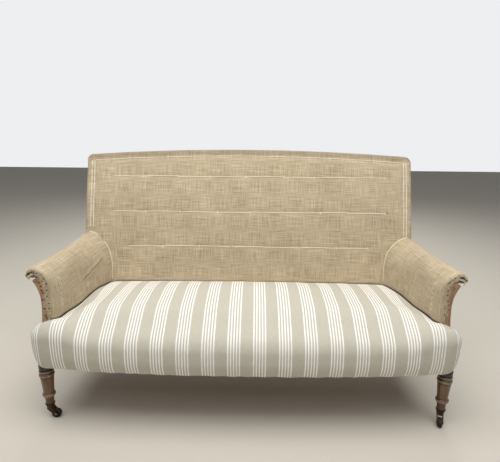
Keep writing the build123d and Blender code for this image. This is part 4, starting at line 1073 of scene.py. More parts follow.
def arm_place(across, along, sweep_up):
    """Across runs from the lap on the facing to the back, along runs up and over the arm."""
    step = np.clip(np.rint(along * ARM_ROUND_COUNT).astype(int), 0, ARM_ROUND_COUNT)
    front, rear, way = section_front[step], section_rear[step], section_way[step]
    lap_share = LAP_COUNT / (ARM_DEEP_COUNT + LAP_COUNT)
    lap = np.clip(1 - across / lap_share, 0, 1)
    deep = np.clip((across - lap_share) / (1 - lap_share), 0, 1)
    outer = smoothstep(*ARM_OUTER, front[:, 0])
    hidden_end = face_depth(np.clip(front[:, 1], RAIL_TOP, ARM_TOP)) + HIDDEN_LONG + HIDDEN_OUTER * outer
    under = smoothstep(section_way[-1] - UNDER_FROM, section_way[-1] - UNDER_FULL, way)
    end = hidden_end * (1 - under) + STILE_FRONT * under
    start = ARM_FRONT + FRONT_ROLL
    y = start + deep * (end - start)
    section = front + (rear - front) * ((y - ARM_FRONT) / (ARM_REAR - ARM_FRONT))[:, None]
    swept = smoothstep(*SWEEP_DEPTH, y) * smoothstep(top_way - SWEEP_BELOW, top_way, way)
    swept *= 1 - smoothstep(nose_way, nose_way + SWEEP_PAST, way)
    swept_out = swept * (1 - SWEEP_EASE * smoothstep(top_way, nose_way, way))
    section = section + np.stack((SWEEP_OUT * swept_out, sweep_up * swept), axis=1)
    spine, gap = spine_point(front)
    inward = (spine - front) / np.maximum(gap, 1e-6)[:, None]
    quarter = np.clip(lap / 0.5, 0, 1) * math.pi / 2
    flat = np.clip((lap - 0.5) / 0.5, 0, 1)
    lap_long = np.minimum(LAP_LONG, np.maximum(gap - FRONT_ROLL - LAP_ROOM, LAP_LEAST))
    seen = 1 - smoothstep(nose_way + NOSE_SHUT, nose_way + NOSE_OPEN, way)
    fall = (FRONT_ROLL * (1 - np.cos(quarter)) + flat * lap_long) * seen
    section = section + inward * fall[:, None]
    y = y - (ROLL_FULL * FRONT_ROLL * np.sin(quarter) - LAP_PRESS * flat) * (0.3 + 0.7 * seen)
    cloth_deep = deep * (end - start) - lap * (FRONT_ROLL * math.pi / 2 + LAP_LONG)
    return np.stack((section[:, 0], y, section[:, 1]), axis=1), np.stack((cloth_deep, way), axis=1)


def flip_faces(piece):
    work_on(piece)
    bpy.ops.object.mode_set(mode="EDIT")
    bpy.ops.mesh.select_all(action="SELECT")
    bpy.ops.mesh.flip_normals()
    bpy.ops.object.mode_set(mode="OBJECT")


# The left arm's fold, with painted shade along it.
CREASE_START, CREASE_LOW, CREASE_RISE, CREASE_LONG = -0.13, 0.468, 0.25, 0.225
CREASE_WIDE, CREASE_DEEP, CREASE_SHADE, CREASE_DARK = 0.011, 0.0048, 0.55, 0.32
ARM_WALL_OUT, ARM_HELD_OUT, ARM_FILL, ARM_COVER_THICK = 0.71, 0.715, 0.004, 0.0012
LAP_EDGE, LAP_OFF = (ARM_FRONT + 0.004, ARM_FRONT - 0.002), 0.0015
SEWN_BACK, SEWN_DEEP, SEWN_WIDE = 0.047, 0.0026, 0.008
PUCKER_DEEP, PUCKER_SIZE, PUCKER_SHAPE = 0.0022, 0.0075, np.array((1, 0.2, 1))


def crease(points):
    """How many widths each point lies off the left arm's fold, and how deep the fold is there."""
    along = points[:, 1] - CREASE_START
    off = (points[:, 2] - CREASE_LOW - CREASE_RISE * along) / CREASE_WIDE
    deep = smoothstep(0.0, 0.06, along) * smoothstep(CREASE_LONG, CREASE_LONG - 0.05, along)
    return off, deep * (np.abs(points[:, 0]) < ARM_WALL_OUT)


def make_arm(sign, side):
    """One arm's cover, made as the right arm's and mirrored for the left."""
    arm = cloth_grid(
        f"arm_hessian_{side}",
        ARM_DEEP_COUNT + LAP_COUNT,
        ARM_ROUND_COUNT,
        lambda across, along: arm_place(across, along, SWEEP_UP[sign]),
    )
    flip_faces(arm)
    co = points_of(arm)
    held = edge_points(arm) | (co[:, 1] < LAP_EDGE[0])
    held |= (co[:, 2] < ARM_UNDER + 0.002) & (co[:, 0] > ARM_HELD_OUT)
    swell(arm, held, ARM_FILL)
    co = points_of(arm)
    lapped = smoothstep(*LAP_EDGE, co[:, 1])
    on_wall = smoothstep(ARM_TOP - 0.01, ARM_TOP - 0.03, co[:, 2]) * (co[:, 0] < ARM_WALL_OUT)
    sewn = -SEWN_DEEP * np.exp(-(((co[:, 1] - ARM_FRONT - SEWN_BACK) / SEWN_WIDE) ** 2)) * on_wall
    uneven = unevenness(co, ((0.0022, 0.06, 2.2 + sign), (0.0011, 0.026, 0.9 * sign)))
    puckers = PUCKER_DEEP * lumps(co * PUCKER_SHAPE, PUCKER_SIZE, 3.0 + sign) * lapped
    if sign < 0:
        off, deep = crease(co)
        uneven -= CREASE_DEEP * off * np.exp(-(off**2) / 2) * deep
    moved = co + normals_of(arm) * ((1 - lapped) * (sewn + uneven) + puckers)[:, None]
    moved[:, 1] = np.where(lapped > 0.9, np.minimum(moved[:, 1], ARM_FRONT - LAP_OFF), moved[:, 1])
    moved[:, 0] *= sign
    set_points(arm, moved)
    if sign < 0:
        flip_faces(arm)
    thicken(arm, ARM_COVER_THICK)
    co = points_of(arm)
    # Painted shade in the crevice beside the seat, and along the left arm's fold.
    painted_shade = crevice(co, seat_skin, np.array((-CREVICE_STEP * sign, 0, 0)))
    if sign < 0:
        off, deep = crease(co)
        painted_shade = np.maximum(painted_shade, CREASE_SHADE * np.exp(-(((off + 0.2) / CREASE_DARK) ** 2)) * deep)
    set_painted_shade(arm, painted_shade)
    smooth_shade(arm, 60)
    finish_piece(arm, hessian)
    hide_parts(f"arm_cover_{side}", f"arm_pad_{side}")
    return arm


arms = {sign: make_arm(sign, side) for sign, side in SIDES}


# Webbing, woven over and under, with its ends turned back and tacked
def spread(count, pitch):
    """Places on both sides of a middle, one pitch apart."""
    return [(number - (count - 1) / 2) * pitch for number in range(count)]


WEB_TURNED, WEB_EASE, WEB_STEP = 0.034, 0.030, 0.008
WEB_TACKS, WEB_TACK_PITCH, WEB_TACK_IN = 4, 0.0125, 0.012


def web_strip(low, high, crossings, first_up, place):
    """One strip with its turned ends, laid by a matrix: X across, Y along, Z towards the stuffing."""
    lift = (WEB_THICK + WEB_GAP) / 2

    def lie(across, along):
        x = (across - 0.5) * WEB_WIDE
        y = low + along * (high - low)
        z = np.zeros_like(y)
        for number, crossing in enumerate(crossings):
            up = lift if (number % 2 == 0) == first_up else -lift
            z += up * (1 - smoothstep(WEB_WIDE / 2, WEB_WIDE / 2 + WEB_EASE, np.abs(y - crossing)))
        return np.stack((x, y, z), axis=1), np.stack((x, y), axis=1)

    def turn_back(at, towards):
        def lie_back(across, along):
            x = (across - 0.5) * (WEB_WIDE - 0.001)
            y = at + towards * (0.0015 + along * WEB_TURNED)
            return np.stack((x, y, np.full_like(y, -WEB_THICK)), axis=1), np.stack((x, y), axis=1)

        return lie_back

    strips = [cloth_grid("strip", 4, max(12, round((high - low) / WEB_STEP)), lie)]
    strips += [cloth_grid("end", 4, 6, turn_back(low, 1)), cloth_grid("end", 4, 6, turn_back(high, -1))]
    flip_faces(strips[2])
    for strip in strips:
        thicken(strip, WEB_THICK - 0.0001, 0.0)
        strip.data.transform(place)
    return strips


def matrix_of(x_way, y_way, origin):
    """A place from two directions and an origin."""
    x_way, y_way = Vector(x_way).normalized(), Vector(y_way).normalized()
    z_way = x_way.cross(y_way)
    turn = Matrix((x_way, y_way, z_way)).transposed().to_4x4()
    return Matrix.Translation(Vector(origin)) @ turn


def web_tacks(place, low, high):
    """Places for a row of tacks at both ends of a strip, heads away from the stuffing."""
    found = []
    turned = Matrix.Rotation(math.pi, 4, "X")
    for at in (low + WEB_TACK_IN, high - WEB_TACK_IN):
        for x in spread(WEB_TACKS, WEB_TACK_PITCH):
            found.append(place @ Matrix.Translation((x, at, -1.5 * WEB_THICK)) @ turned)
    return found


SEAT_COLUMN_X = spread(13, 0.104)
SEAT_ROW_Y = [BLOCK_FRONT + 0.090 + row * 0.130 for row in range(4)]
BACK_COLUMN_X = spread(8, 0.150)
BACK_WEB_LOW, BACK_WEB_TOP = 0.0665, BACK_EDGE - BACK_CORNER
LOWER_RAIL_TOP, TOP_RAIL_LOW = 0.102, BACK_HIGH - 0.072
BACK_WEB_DROP = 0.008
BACK_BAY = (TOP_RAIL_LOW - LOWER_RAIL_TOP) / 3
BACK_ROW_UP = [LOWER_RAIL_TOP + BACK_BAY * (row + 0.5) - BACK_WEB_DROP for row in range(3)]
UP_BACK = (0, math.sin(LEAN), math.cos(LEAN))
DOWN_BACK = tuple(-part for part in UP_BACK)
FRONT_TACK, BACK_TACK, SIDE_TACK = BLOCK_FRONT + WEB_GAP, STILE_Y + 0.032, STILE_OUT - 0.004
tack_places = []


def weave(name, node, strips):
    """Joins strips given as ends, crossings, first side and place."""
    pieces = []
    for low, high, crossings, first_up, place in strips:
        pieces += web_strip(low, high, crossings, first_up, place)
        tack_places.extend(web_tacks(place, low, high))
    webbing = join_all(name, pieces)
    smooth_shade(webbing, 40)
    finish_piece(webbing, jute)
    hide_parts(node)


def lattice(columns, column_ends, column_place, rows, row_ends, row_place):
    """Strips one way, over and under the strips that cross them."""
    strips = []
    for number, at in enumerate(columns):
        strips.append((*column_ends, rows, number % 2 == 0, column_place(at)))
    for number, at in enumerate(rows):
        strips.append((*row_ends, columns, number % 2 == 1, row_place(at)))
    return strips


seat_level = LEG_HEIGHT - WEB_REST
seat_strips = lattice(
    SEAT_COLUMN_X,
    (FRONT_TACK, BACK_TACK),
    lambda x: matrix_of((1, 0, 0), (0, 1, 0), (x, 0, seat_level)),
    SEAT_ROW_Y,
    (-SIDE_TACK, SIDE_TACK),
    lambda y: matrix_of((0, -1, 0), (1, 0, 0), (0, y, seat_level)),
)
weave("seat_webs", "seat_webbing", seat_strips)

back_strips = lattice(
    BACK_COLUMN_X,
    (BACK_WEB_LOW, BACK_WEB_TOP),
    lambda x: matrix_of((1, 0, 0), UP_BACK, back_world(x, 0, WEB_REST)),
    BACK_ROW_UP,
    (-STILE_OUT, STILE_OUT),
    lambda up: matrix_of(DOWN_BACK, (1, 0, 0), back_world(0, up, WEB_REST)),
)
weave("back_webs", "back_webbing", back_strips)

ARM_RUN = Vector((POST_INNER - ARM_RAIL_BACK, ARM_FRONT + 0.030 - STILE_Y, 0))
ARM_LONG = ARM_RUN.length
ARM_WEB_LOW, ARM_WEB_TOP = 0.026, POST_TOP - RAIL_TOP - 0.0025
ARM_WEB_AT = [ARM_LONG / 2 + x for x in spread(3, 0.130)]


def arm_matrix(sign, along, off):
    """On the arm frame's inner face: X to the front, Y up, Z inwards, mirrored by the sign."""
    way = Vector((sign * ARM_RUN.x, ARM_RUN.y, 0)).normalized()
    inwards = Vector((0, 0, 1)).cross(way) * -sign
    origin = Vector((sign * ARM_RAIL_BACK, STILE_Y, RAIL_TOP)) + way * along + inwards * off
    return matrix_of(way * sign, (0, 0, 1), origin)


for sign, side in SIDES:
    strips = [(ARM_WEB_LOW, ARM_WEB_TOP, [], True, arm_matrix(sign, along, WEB_REST)) for along in ARM_WEB_AT]
    weave(f"arm_webs_{side}", f"arm_webbing_{side}", strips)


# Linings behind the pads
def strip_cover(places, at):
    """How far a place is covered by strips about some middles."""
    gap = np.min(np.abs(np.asarray(at)[:, None] - np.asarray(places)), axis=1)
    return 1 - smoothstep(WEB_WIDE / 2, WEB_WIDE / 2 + 0.02, gap)


LINING_HALF, LINING_OUT, LINING_SAG, LINING_THICK = STILE_OUT - BACK_CORNER, 0.0047, 0.0032, 0.0008
LINING_SIDE, LINING_LOW, LINING_TOP = (0.684, 0.66), (0.10, 0.13), (0.578, 0.55)
ARM_LINING_OUT, ARM_LINING_SAG, ARM_LINING_LOW = 0.0029, 0.0022, (0.056, 0.075)


def back_lining_place(across, along):
    """A flat cloth on the webs that sags a little between them."""
    x = (across - 0.5) * 2 * LINING_HALF
    top = BACK_EDGE - BACK_CORNER + arch(x)
    up = BACK_WEB_LOW + along * (top - BACK_WEB_LOW)
    held = np.maximum(strip_cover(BACK_COLUMN_X, x), strip_cover(BACK_ROW_UP, up))
    inside = smoothstep(*LINING_SIDE, np.abs(x)) * smoothstep(*LINING_LOW, up) * smoothstep(*LINING_TOP, up)
    out = LINING_OUT - LINING_SAG * (1 - held) * inside * (0.8 + 0.2 * np.sin(17 * x + 23 * up))
    return back_world(x, up, out), np.stack((x, up), axis=1)


def finish_lining(piece):
    thicken(piece, LINING_THICK, 0.0)
    smooth_shade(piece, 60)
    finish_piece(piece, lining_cloth)


back_lining = cloth_grid("back_lining_cloth", 150, 64, back_lining_place)
notch_for_arms(back_lining)
finish_lining(back_lining)
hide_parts("back_lining")


def make_arm_lining(sign, side):
    """The cloth on the inner side of one arm's webs."""
    wide, tall = ARM_LONG - WEB_GAP, ARM_WEB_TOP - ARM_WEB_LOW

    def lie(across, along):
        x = WEB_GAP / 2 + across * wide
        up = ARM_WEB_LOW + along * tall
        inside = smoothstep(*ARM_LINING_LOW, up) * smoothstep(ARM_WEB_TOP - 0.03, ARM_WEB_TOP - 0.05, up)
        inside *= smoothstep(0.0, 0.03, x) * smoothstep(ARM_LONG, ARM_LONG - 0.03, x)
        out = ARM_LINING_OUT - ARM_LINING_SAG * (1 - strip_cover(ARM_WEB_AT, x)) * inside
        return np.stack((x * sign, up, out), axis=1), np.stack((x, up), axis=1)

    lining = cloth_grid(f"arm_lining_cloth_{side}", 56, 30, lie)
    if sign < 0:
        flip_faces(lining)
    lining.data.transform(arm_matrix(sign, 0, 0))
    finish_lining(lining)
    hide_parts(f"arm_lining_{side}")


for sign, side in SIDES:
    make_arm_lining(sign, side)

# The springs, the canvas over them and the fibre round them
SPRING_X, SPRING_Y = spread(6, 0.208), SEAT_ROW_Y[:3]
SPRING_LOW, SPRING_HIGH, SPRING_TURNS = 0.2252, 0.136, 5
SPRING_RADIUS, SPRING_WAIST, WIRE = 0.040, 0.027, 0.0019
WELL_HALF = SPRING_X[-1] + SPRING_RADIUS + WIRE + 0.010
WELL_ROOM = 0.0519
WELL_FRONT, WELL_BACK = SPRING_Y[0] - WELL_ROOM, SPRING_Y[-1] + WELL_ROOM
WELL_MIDDLE, WELL_DEEP = (WELL_FRONT + WELL_BACK) / 2, WELL_BACK - WELL_FRONT
CANVAS_EASE, CANVAS_OFF, CANVAS_SAG = 0.035, 0.0009, 0.0020
WELL_EDGE, WELL_TOP = 0.006, SPRING_LOW + SPRING_HIGH + 0.008
FIBRE_STEP, FIBRE_INSET, FIBRE_LUMP, FIBRE_LUMP_SIZE = 0.010, 0.005, 0.0018, 0.018


def spring_run(x, y):
    """The middle line of one double cone of wire."""
    turn = np.linspace(0, SPRING_TURNS, 26 * SPRING_TURNS + 1)
    share = turn / SPRING_TURNS
    radius = SPRING_WAIST + (SPRING_RADIUS - SPRING_WAIST) * np.abs(2 * share - 1) ** 2
    rise = (SPRING_HIGH - 2 * WIRE) * (share - np.sin(4 * np.pi * share) / (6 * np.pi))
    angle = 2 * np.pi * turn
    x, y = x + radius * np.cos(angle), y + radius * np.sin(angle)
    return np.stack((x, y, SPRING_LOW + WIRE + rise), axis=1)


springs = tubes("coil_springs", [spring_run(x, y) for y in SPRING_Y for x in SPRING_X], WIRE, "POLY")
finish_piece(springs, spring_wire)
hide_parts("seat_springs")


def canvas_place(across, along):
    """A flat cloth on the springs that sags a little between them."""
    x = (across - 0.5) * 2 * (WELL_HALF - WEB_GAP / 2)
    y = WELL_FRONT + WEB_GAP / 2 + along * (WELL_BACK - WELL_FRONT - WEB_GAP)
    over = np.zeros_like(x)
    for spring_y in SPRING_Y:
        for spring_x in SPRING_X:
            gap = np.hypot(x - spring_x, y - spring_y)
            over = np.maximum(over, 1 - smoothstep(SPRING_RADIUS, SPRING_RADIUS + CANVAS_EASE, gap))
    z = SPRING_LOW + SPRING_HIGH + CANVAS_OFF - CANVAS_SAG * (1 - over)
    return np.stack((x, y, z), axis=1), np.stack((x, y), axis=1)


canvas = cloth_grid("spring_canvas", 120, 40, canvas_place)
finish_lining(canvas)
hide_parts("seat_spring_canvas")


def make_stuffing():
    """The fibre under the cover, seen from below between the webs."""
    node = nodes["seat_stuffing"]
    stuffing = node.copy()
    stuffing.data = node.data.copy()
    stuffing.name = "seat_fibre"
    stuffing.data.name = "seat_fibre"
    stuffing.parent = None
    stuffing.hide_render = False
    bpy.context.collection.objects.link(stuffing)
    work_on(stuffing)
    bpy.ops.object.mode_set(mode="EDIT")
    bpy.ops.mesh.select_all(action="SELECT")
    bpy.ops.mesh.remove_doubles(threshold=0.0001)
    bpy.ops.object.mode_set(mode="OBJECT")
    apply_modifier(stuffing, "REMESH", mode="VOXEL", voxel_size=FIBRE_STEP)
    co = points_of(stuffing)
    well = (np.abs(co[:, 0]) < WELL_HALF + WELL_EDGE) & (co[:, 2] < WELL_TOP)
    well &= np.abs(co[:, 1] - WELL_MIDDLE) < WELL_DEEP / 2 + WELL_EDGE
    co = np.where(well[:, None], co, tucked(co))
    inset = FIBRE_INSET + FIBRE_LUMP * lumps(co, FIBRE_LUMP_SIZE, 0.7)
    set_points(stuffing, co - normals_of(stuffing) * inset[:, None])
    smooth_shade(stuffing, 80)
    finish_piece(stuffing, fibre)
    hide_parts("seat_stuffing")


make_stuffing()


# Twine, laid on the cloth where the needle went
def laid(skin, start, way, lift):
    """The place where a line meets a cloth, lifted off it."""
    hit, normal, _, _ = skin.ray_cast(Vector(start), Vector(way))
    return None if hit is None else hit + normal * lift


back_skin = surface(back)
INTO_BACK = (0, math.cos(LEAN), -math.sin(LEAN))
RAY_OFF = 0.3
STITCH_LONG, STITCH_STRAY, STITCH_GAP = 0.034, 0.004, 0.001
STITCH_LIFT, STITCH_DIVE, STITCH_POINTS, TIE_POINTS, TIE_GAP = 0.0007, 0.0019, 6, 13, 0.002
KNOT, KNOT_LIFT = ((-0.003, 0.001), (0.0, 0.004), (0.003, 0.0), (0.001, -0.005)), 0.001
SIDE_STITCH_LOW, SIDE_STITCH_ROWS = {-1: 0.300, 1: 0.270}, (0, 0.011)
BACK_TWINE, SEAM_TWINE, ARM_STITCH_TWINE = 0.0015, 0.0014, 0.0009


def on_back(x, up, lift):
    """A place on the back's cover, lifted off it."""
    return laid(back_skin, back_world(x, up, RAY_OFF), INTO_BACK, lift)


def back_stitch(x_from, up_from, x_to, up_to, count):
    """One stitch on the back that dives into the cloth at both ends."""
    run = []
    for share in np.linspace(0, 1, count):
        x, up = x_from + share * (x_to - x_from), up_from + share * (up_to - up_from)
        run.append(on_back(x, up, STITCH_LIFT - STITCH_DIVE * abs(2 * share - 1) ** 8))
    return run


def stitch_ends(low, high, long):
    """Uneven stitches one after another between two places."""
    pick = np.random.default_rng(11)
    count = round((high - low) / long)
    ends = np.linspace(low, high, count + 1)
    ends[1:-1] += pick.uniform(-STITCH_STRAY, STITCH_STRAY, count - 1)
    return list(zip(ends[:-1] + STITCH_GAP, ends[1:] - STITCH_GAP))


def back_twine_runs():
    """The ties with a knot at each end, and the stitches along the border."""
    runs = []
    for heights, places in ties:
        for number, height in enumerate(heights[:-1]):
            x_from, x_to = places[number] + TIE_GAP, places[number + 1] - TIE_GAP
            runs.append(back_stitch(x_from, height, x_to, height, TIE_POINTS))
            runs.append([on_back(x_to + x, height + up, KNOT_LIFT) for x, up in KNOT])
    side = BACK_HALF - BORDER_SIDE
    for x_from, x_to in stitch_ends(-side, side, STITCH_LONG):
        runs.append(back_stitch(x_from, border_top(x_from), x_to, border_top(x_to), STITCH_POINTS))
    for sign, low in SIDE_STITCH_LOW.items():
        for inset in SIDE_STITCH_ROWS:
            x = sign * (side + inset)
            for up_from, up_to in stitch_ends(low, border_top(side), STITCH_LONG):
                runs.append(back_stitch(x, up_from, x, up_to, STITCH_POINTS))
    return runs


back_twine = tubes("back_twine", back_twine_runs(), BACK_TWINE)
finish_piece(back_twine, twine)

SEAM_POINTS, SEAM_SHARE, SEAM_OFF, SEAM_LIFT = range(18, 80), 0.78, 0.0035, 0.0012
SEAM_MIDDLE_X, SEAM_MIDDLE_Z, SEAM_LOW, SEAM_IN = 0.70, 0.47, 0.395, 0.008
ARM_STITCH_LOW, ARM_STITCH_TOP, ARM_STITCH_LONG = 0.425, ARM_TOP - 0.035, 0.020
ARM_STITCH_POINTS, ARM_STITCH_LIFT, ARM_STITCH_DIVE = 5, 0.0003, 0.0014


def arm_twine_runs(sign):
    """The seam to the back and the row of stitches behind the front edge."""
    skin = surface(arms[sign])
    seam = []
    for index in SEAM_POINTS:
        place = section_front[index] + (section_rear[index] - section_front[index]) * SEAM_SHARE
        lifted = SWEEP_UP[sign] * smoothstep(SEAM_MIDDLE_Z, ARM_TOP, place[1])
        depth = face_depth(place[1] + lifted) - SEAM_OFF
        inside = Vector((sign * SEAM_MIDDLE_X, depth, SEAM_MIDDLE_Z))
        way = Vector((sign * place[0], depth, place[1])) - inside
        outside = inside + way * 1.6
        spot = laid(skin, outside, -way, SEAM_LIFT)
        if spot and spot.z > SEAM_LOW and abs(spot.x) < BACK_HALF - SEAM_IN:
            seam.append(spot)
    rows = []
    for low, high in stitch_ends(ARM_STITCH_LOW, ARM_STITCH_TOP, ARM_STITCH_LONG):
        run = []
        for share in np.linspace(0, 1, ARM_STITCH_POINTS):
            z = low + share * (high - low - 0.006)
            lift = ARM_STITCH_LIFT - ARM_STITCH_DIVE * abs(2 * share - 1) ** 4
            spot = laid(skin, (0, ARM_FRONT + SEWN_BACK, z), (sign, 0, 0), lift)
            if spot:
                run.append(spot)
        if len(run) == ARM_STITCH_POINTS:
            rows.append(run)
    return [seam], rows


for sign, side in SIDES:
    seam, rows = arm_twine_runs(sign)
    name = f"arm_twine_{side}"
    arm_twine = join_all(name, [tubes(name, seam, SEAM_TWINE), tubes("stitches", rows, ARM_STITCH_TWINE)])
    finish_piece(arm_twine, twine)


# Tacks with low domed heads
def facing(point, outwards):
    """A tack's place: its head away from a surface along a direction."""
    turn = Vector(outwards).to_track_quat("Z", "Y").to_matrix().to_4x4()
    return Matrix.Translation(Vector(point)) @ turn


LAP_KEEP, LAP_PROUD = 0.004, 0.0036


def lap_places(sign, inset, spacing, start, stop):
    """Places along the front edge of an arm, set in onto its facing."""
    found = []
    for way in np.arange(start, stop, spacing):
        point = np.array([np.interp(way, section_way, section_front[:, axis]) for axis in range(2)])
        spine, gap = spine_point(point[None])
        step = min(inset, gap[0] - LAP_KEEP)
        place = point + (spine[0] - point) / gap[0] * step
        found.append((sign * place[0], ARM_FRONT - LAP_PROUD, place[1]))
    return found


TACK_RADIUS, TACK_DOME, TACK_HALF = 0.0025, 0.42, 0.68
LAP_TACK_IN, LAP_TACK_PITCH, LAP_TACK_LOW, LAP_TACK_STRAY = 0.019, 0.026, 0.105, 0.006
FLANGE_TACK_PITCH, FLANGE_TACK_UP, ARM_TACK_BACK = 0.034, 0.007, 0.245
REAR_TACK_PITCH, REAR_TACK_LOW, TOP_TACK_PITCH, REAR_TACK_IN = 0.036, 0.262, 0.040, 0.015
HEM_TACK_PITCH, HEM_TACK_IN, HEM_TACK_DROP = 0.034, 0.008, 0.0052
SEAT_SIDE_TACKS = (0.246, 0.282, 0.318)
REAR_COVER = -STILE_DEEP - 2 * BACK_COVER

for sign, _ in SIDES:
    pick = np.random.default_rng(5 + sign)
    for x, y, z in lap_places(sign, LAP_TACK_IN, LAP_TACK_PITCH, LAP_TACK_LOW, nose_way - 0.008):
        jitter = pick.uniform(-LAP_TACK_STRAY, LAP_TACK_STRAY, 2)
        tack_places.append(facing((x + jitter[0], y, z + jitter[1]), (0, -1, 0)))
    for y in np.arange(ARM_FRONT + 0.035, ARM_TACK_BACK, FLANGE_TACK_PITCH):
        low = ARM_UNDER - FLANGE + FLANGE_TACK_UP
        tack_places.append(facing((sign * (rail_outer(y) + 0.0008), y, low), (sign, 0.03, 0)))
    for up in np.arange(REAR_TACK_LOW, BACK_EDGE - 0.03, REAR_TACK_PITCH):
        rear = back_world(sign * (BACK_HALF - REAR_TACK_IN), up, REAR_COVER)
        tack_places.append(facing(rear, INTO_BACK))
    for z in SEAT_SIDE_TACKS:
        x = sign * (SEAT_HALF - 0.0005 - 0.1 * max(SEAT_BELLY - z, 0))
        tack_places.append(facing((x, ARM_FRONT - 0.009, z), (sign, 0, 0)))
for x in np.arange(-TACK_HALF, TACK_HALF + 0.001, TOP_TACK_PITCH):
    rear = back_world(x, BACK_EDGE + arch(x) - REAR_TACK_IN, REAR_COVER)
    tack_places.append(facing(rear, INTO_BACK))
for x in np.arange(-TACK_HALF, TACK_HALF + 0.001, HEM_TACK_PITCH):
    y = SEAT_FRONT + HEM_INSET + HEM_TACK_IN + FRONT_BOW * (x / SEAT_HALF) ** 2
    tack_places.append(facing((x, y, SEAT_HEM - HEM_TACK_DROP), (0, 0, -1)))

clear_selection()
bpy.ops.mesh.primitive_uv_sphere_add(segments=8, ring_count=5, radius=TACK_RADIUS)
tack = bpy.context.object
bpy.ops.object.mode_set(mode="EDIT")
bpy.ops.mesh.select_all(action="SELECT")
bpy.ops.transform.resize(value=(1, 1, TACK_DOME))
bpy.ops.object.mode_set(mode="OBJECT")
tacks = copies_at(tack, tack_places, "tacks")
bpy.ops.object.shade_smooth()
finish_piece(tacks, tack_steel)


# Loose threads along the raw edges of the hessian
FRAY_IN, FRAY_PITCH, FRAY_LOW, FRAY_PROUD, FRAY_ROOT = 0.024, 0.0042, 0.10, 0.0022, 0.003
FRAY_LONG, FRAY_BEND, FRAY_SHAPE = (0.003, 0.008), 0.0025, np.array((1, 0.2, 1))
FLANGE_FRAY_PITCH, FLANGE_FRAY_LONG, FLANGE_FRAY_BEND = 0.0065, (0.003, 0.009), 0.003
THREAD, NOSE_FIBRE, NOSE_FRAY = 0.00035, 0.0009, 0.0007
NOSE_LONG, NOSE_END = 0.050, 0.014


def thread_runs():
    """Frayed ends along the lap on each facing and under the flange on each arm's rail."""
    pick = np.random.default_rng(23)
    runs = []
    for sign, _ in SIDES:
        for x, y, z in lap_places(sign, FRAY_IN, FRAY_PITCH, FRAY_LOW, nose_way):
            start = np.array((x, ARM_FRONT - FRAY_PROUD, z))
            spine, _ = spine_point(np.array([[abs(x), z]]))
            inward = np.array((sign * (spine[0, 0] - abs(x)), 0, spine[0, 1] - z))
            inward /= max(np.linalg.norm(inward), 1e-6)
            long = pick.uniform(*FRAY_LONG)
            bend = pick.uniform(-FRAY_BEND, FRAY_BEND, 3) * FRAY_SHAPE
            tip = start + inward * long + bend
            runs.append([start - inward * FRAY_ROOT, start + inward * long / 2, tip])
        for y in np.arange(ARM_FRONT + 0.02, 0.25, FLANGE_FRAY_PITCH):
            start = np.array((sign * (rail_outer(y) + 0.0004), y, ARM_UNDER - FLANGE + 0.002))
            long = pick.uniform(*FLANGE_FRAY_LONG)
            bend = np.array((0, *pick.uniform(-FLANGE_FRAY_BEND, FLANGE_FRAY_BEND, 2)))
            runs.append([start, start - np.array((0, 0, long / 2)), start - np.array((0, 0, long)) + bend])
    return runs


loose_threads = tubes("loose_threads", thread_runs(), THREAD, "POLY", 0)
finish_piece(loose_threads, twine)


def tuft_runs(inset, stray, count, seed):
    """Short curled strands across the open end of each arm's roll."""
    pick = np.random.default_rng(seed)
    runs = []
    for sign, _ in SIDES:
        for x, y, z in lap_places(sign, inset, NOSE_LONG / count, nose_way - NOSE_LONG, nose_way - NOSE_END):
            start = np.array((x, y, z)) + pick.uniform(-1, 1, 3) * (0.002, 0.0006, stray)
            steps = np.cumsum(pick.uniform(-1, 1, (3, 3)) * (0.003, 0.0006, 0.0014), axis=0)
            runs.append([start, *(start + steps)])
    return runs


fibre_runs = tuft_runs(inset=0.0155, stray=0.0014, count=60, seed=31)
nose_fibre = tubes("nose_fibre", fibre_runs, NOSE_FIBRE, "NURBS", 0)
finish_piece(nose_fibre, fibre)
fray_runs = tuft_runs(inset=0.0240, stray=0.0030, count=70, seed=37)
nose_fray = tubes("nose_fray", fray_runs, NOSE_FRAY, "NURBS", 0)
finish_piece(nose_fray, twine)

# Floor, light and camera
clear_selection()
bpy.ops.mesh.primitive_plane_add(size=16)
floor = bpy.context.object
floor.name = "floor"
ground = Finish("pale_floor", roughness=0.75, specular=0.3)
ground.colour((*shade(206, 200, 188), 1))
floor.data.materials.append(ground.material)


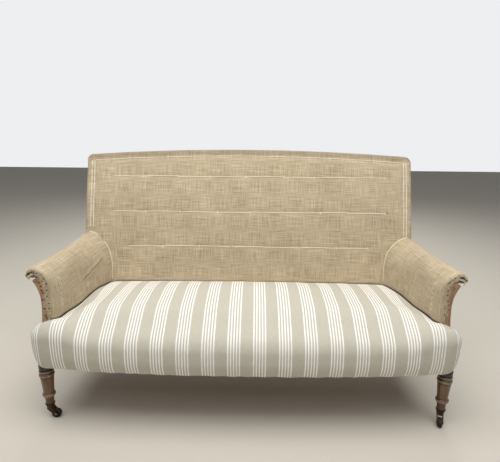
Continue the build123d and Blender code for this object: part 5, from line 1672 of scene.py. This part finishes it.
def area_light(name, place, aim, size, power, colour):
    """A soft rectangular lamp that looks at a place on the sofa."""
    lamp = bpy.data.lights.new(name, "AREA")
    lamp.shape = "RECTANGLE"
    lamp.size, lamp.size_y = size
    lamp.energy = power
    lamp.color = colour
    light = bpy.data.objects.new(name, lamp)
    bpy.context.collection.objects.link(light)
    light.location = place
    light.rotation_euler = (Vector(aim) - Vector(place)).to_track_quat("-Z", "Y").to_euler()


area_light("ceiling", (-0.1, -0.72, 3.05), (0, -0.1, 0.35), (4.6, 2.0), 110, (1.0, 0.993, 0.98))
area_light("front_fill", (-0.1, -2.8, 2.9), (0, 0, 0.45), (3.6, 1.6), 22, (1.0, 0.99, 0.98))
area_light("rear_fill", (0.2, 2.7, 2.6), (0, 0.2, 0.5), (2.8, 1.4), 54, (1.0, 0.99, 0.98))

AMBIENT, BACKDROP = 0.11, 0.88
world = bpy.data.worlds.new("studio")
bpy.context.scene.world = world
world.use_nodes = True
sky = world.node_tree
background = sky.nodes["Background"]
background.inputs["Color"].default_value = (0.97, 0.98, 1.0, 1)
ray = sky.nodes.new("ShaderNodeLightPath")
seen = sky.nodes.new("ShaderNodeMath")
seen.operation = "MAXIMUM"
sky.links.new(ray.outputs["Is Camera Ray"], seen.inputs[0])
sky.links.new(ray.outputs["Is Glossy Ray"], seen.inputs[1])
level = sky.nodes.new("ShaderNodeMapRange")
level.inputs["To Min"].default_value = AMBIENT
level.inputs["To Max"].default_value = BACKDROP
sky.links.new(seen.outputs[0], level.inputs["Value"])
sky.links.new(level.outputs[0], background.inputs["Strength"])

lens = bpy.data.cameras.new("camera")
lens.sensor_fit = "HORIZONTAL"
lens.sensor_width = 36
lens.lens = 31.0
camera = bpy.data.objects.new("camera", lens)
bpy.context.collection.objects.link(camera)
CAMERA_PLACE = (0.029, -1.686, 1.100)
CAMERA_TILT, CAMERA_HEADING, CAMERA_ROLL = math.radians(75.37), math.radians(0.61), math.radians(0.54)
camera.matrix_world = (
    Matrix.Translation(CAMERA_PLACE)
    @ Matrix.Rotation(CAMERA_HEADING, 4, "Z")
    @ Matrix.Rotation(CAMERA_TILT, 4, "X")
    @ Matrix.Rotation(CAMERA_ROLL, 4, "Z")
)
bpy.context.scene.camera = camera
bpy.context.scene.view_settings.view_transform = "Standard"
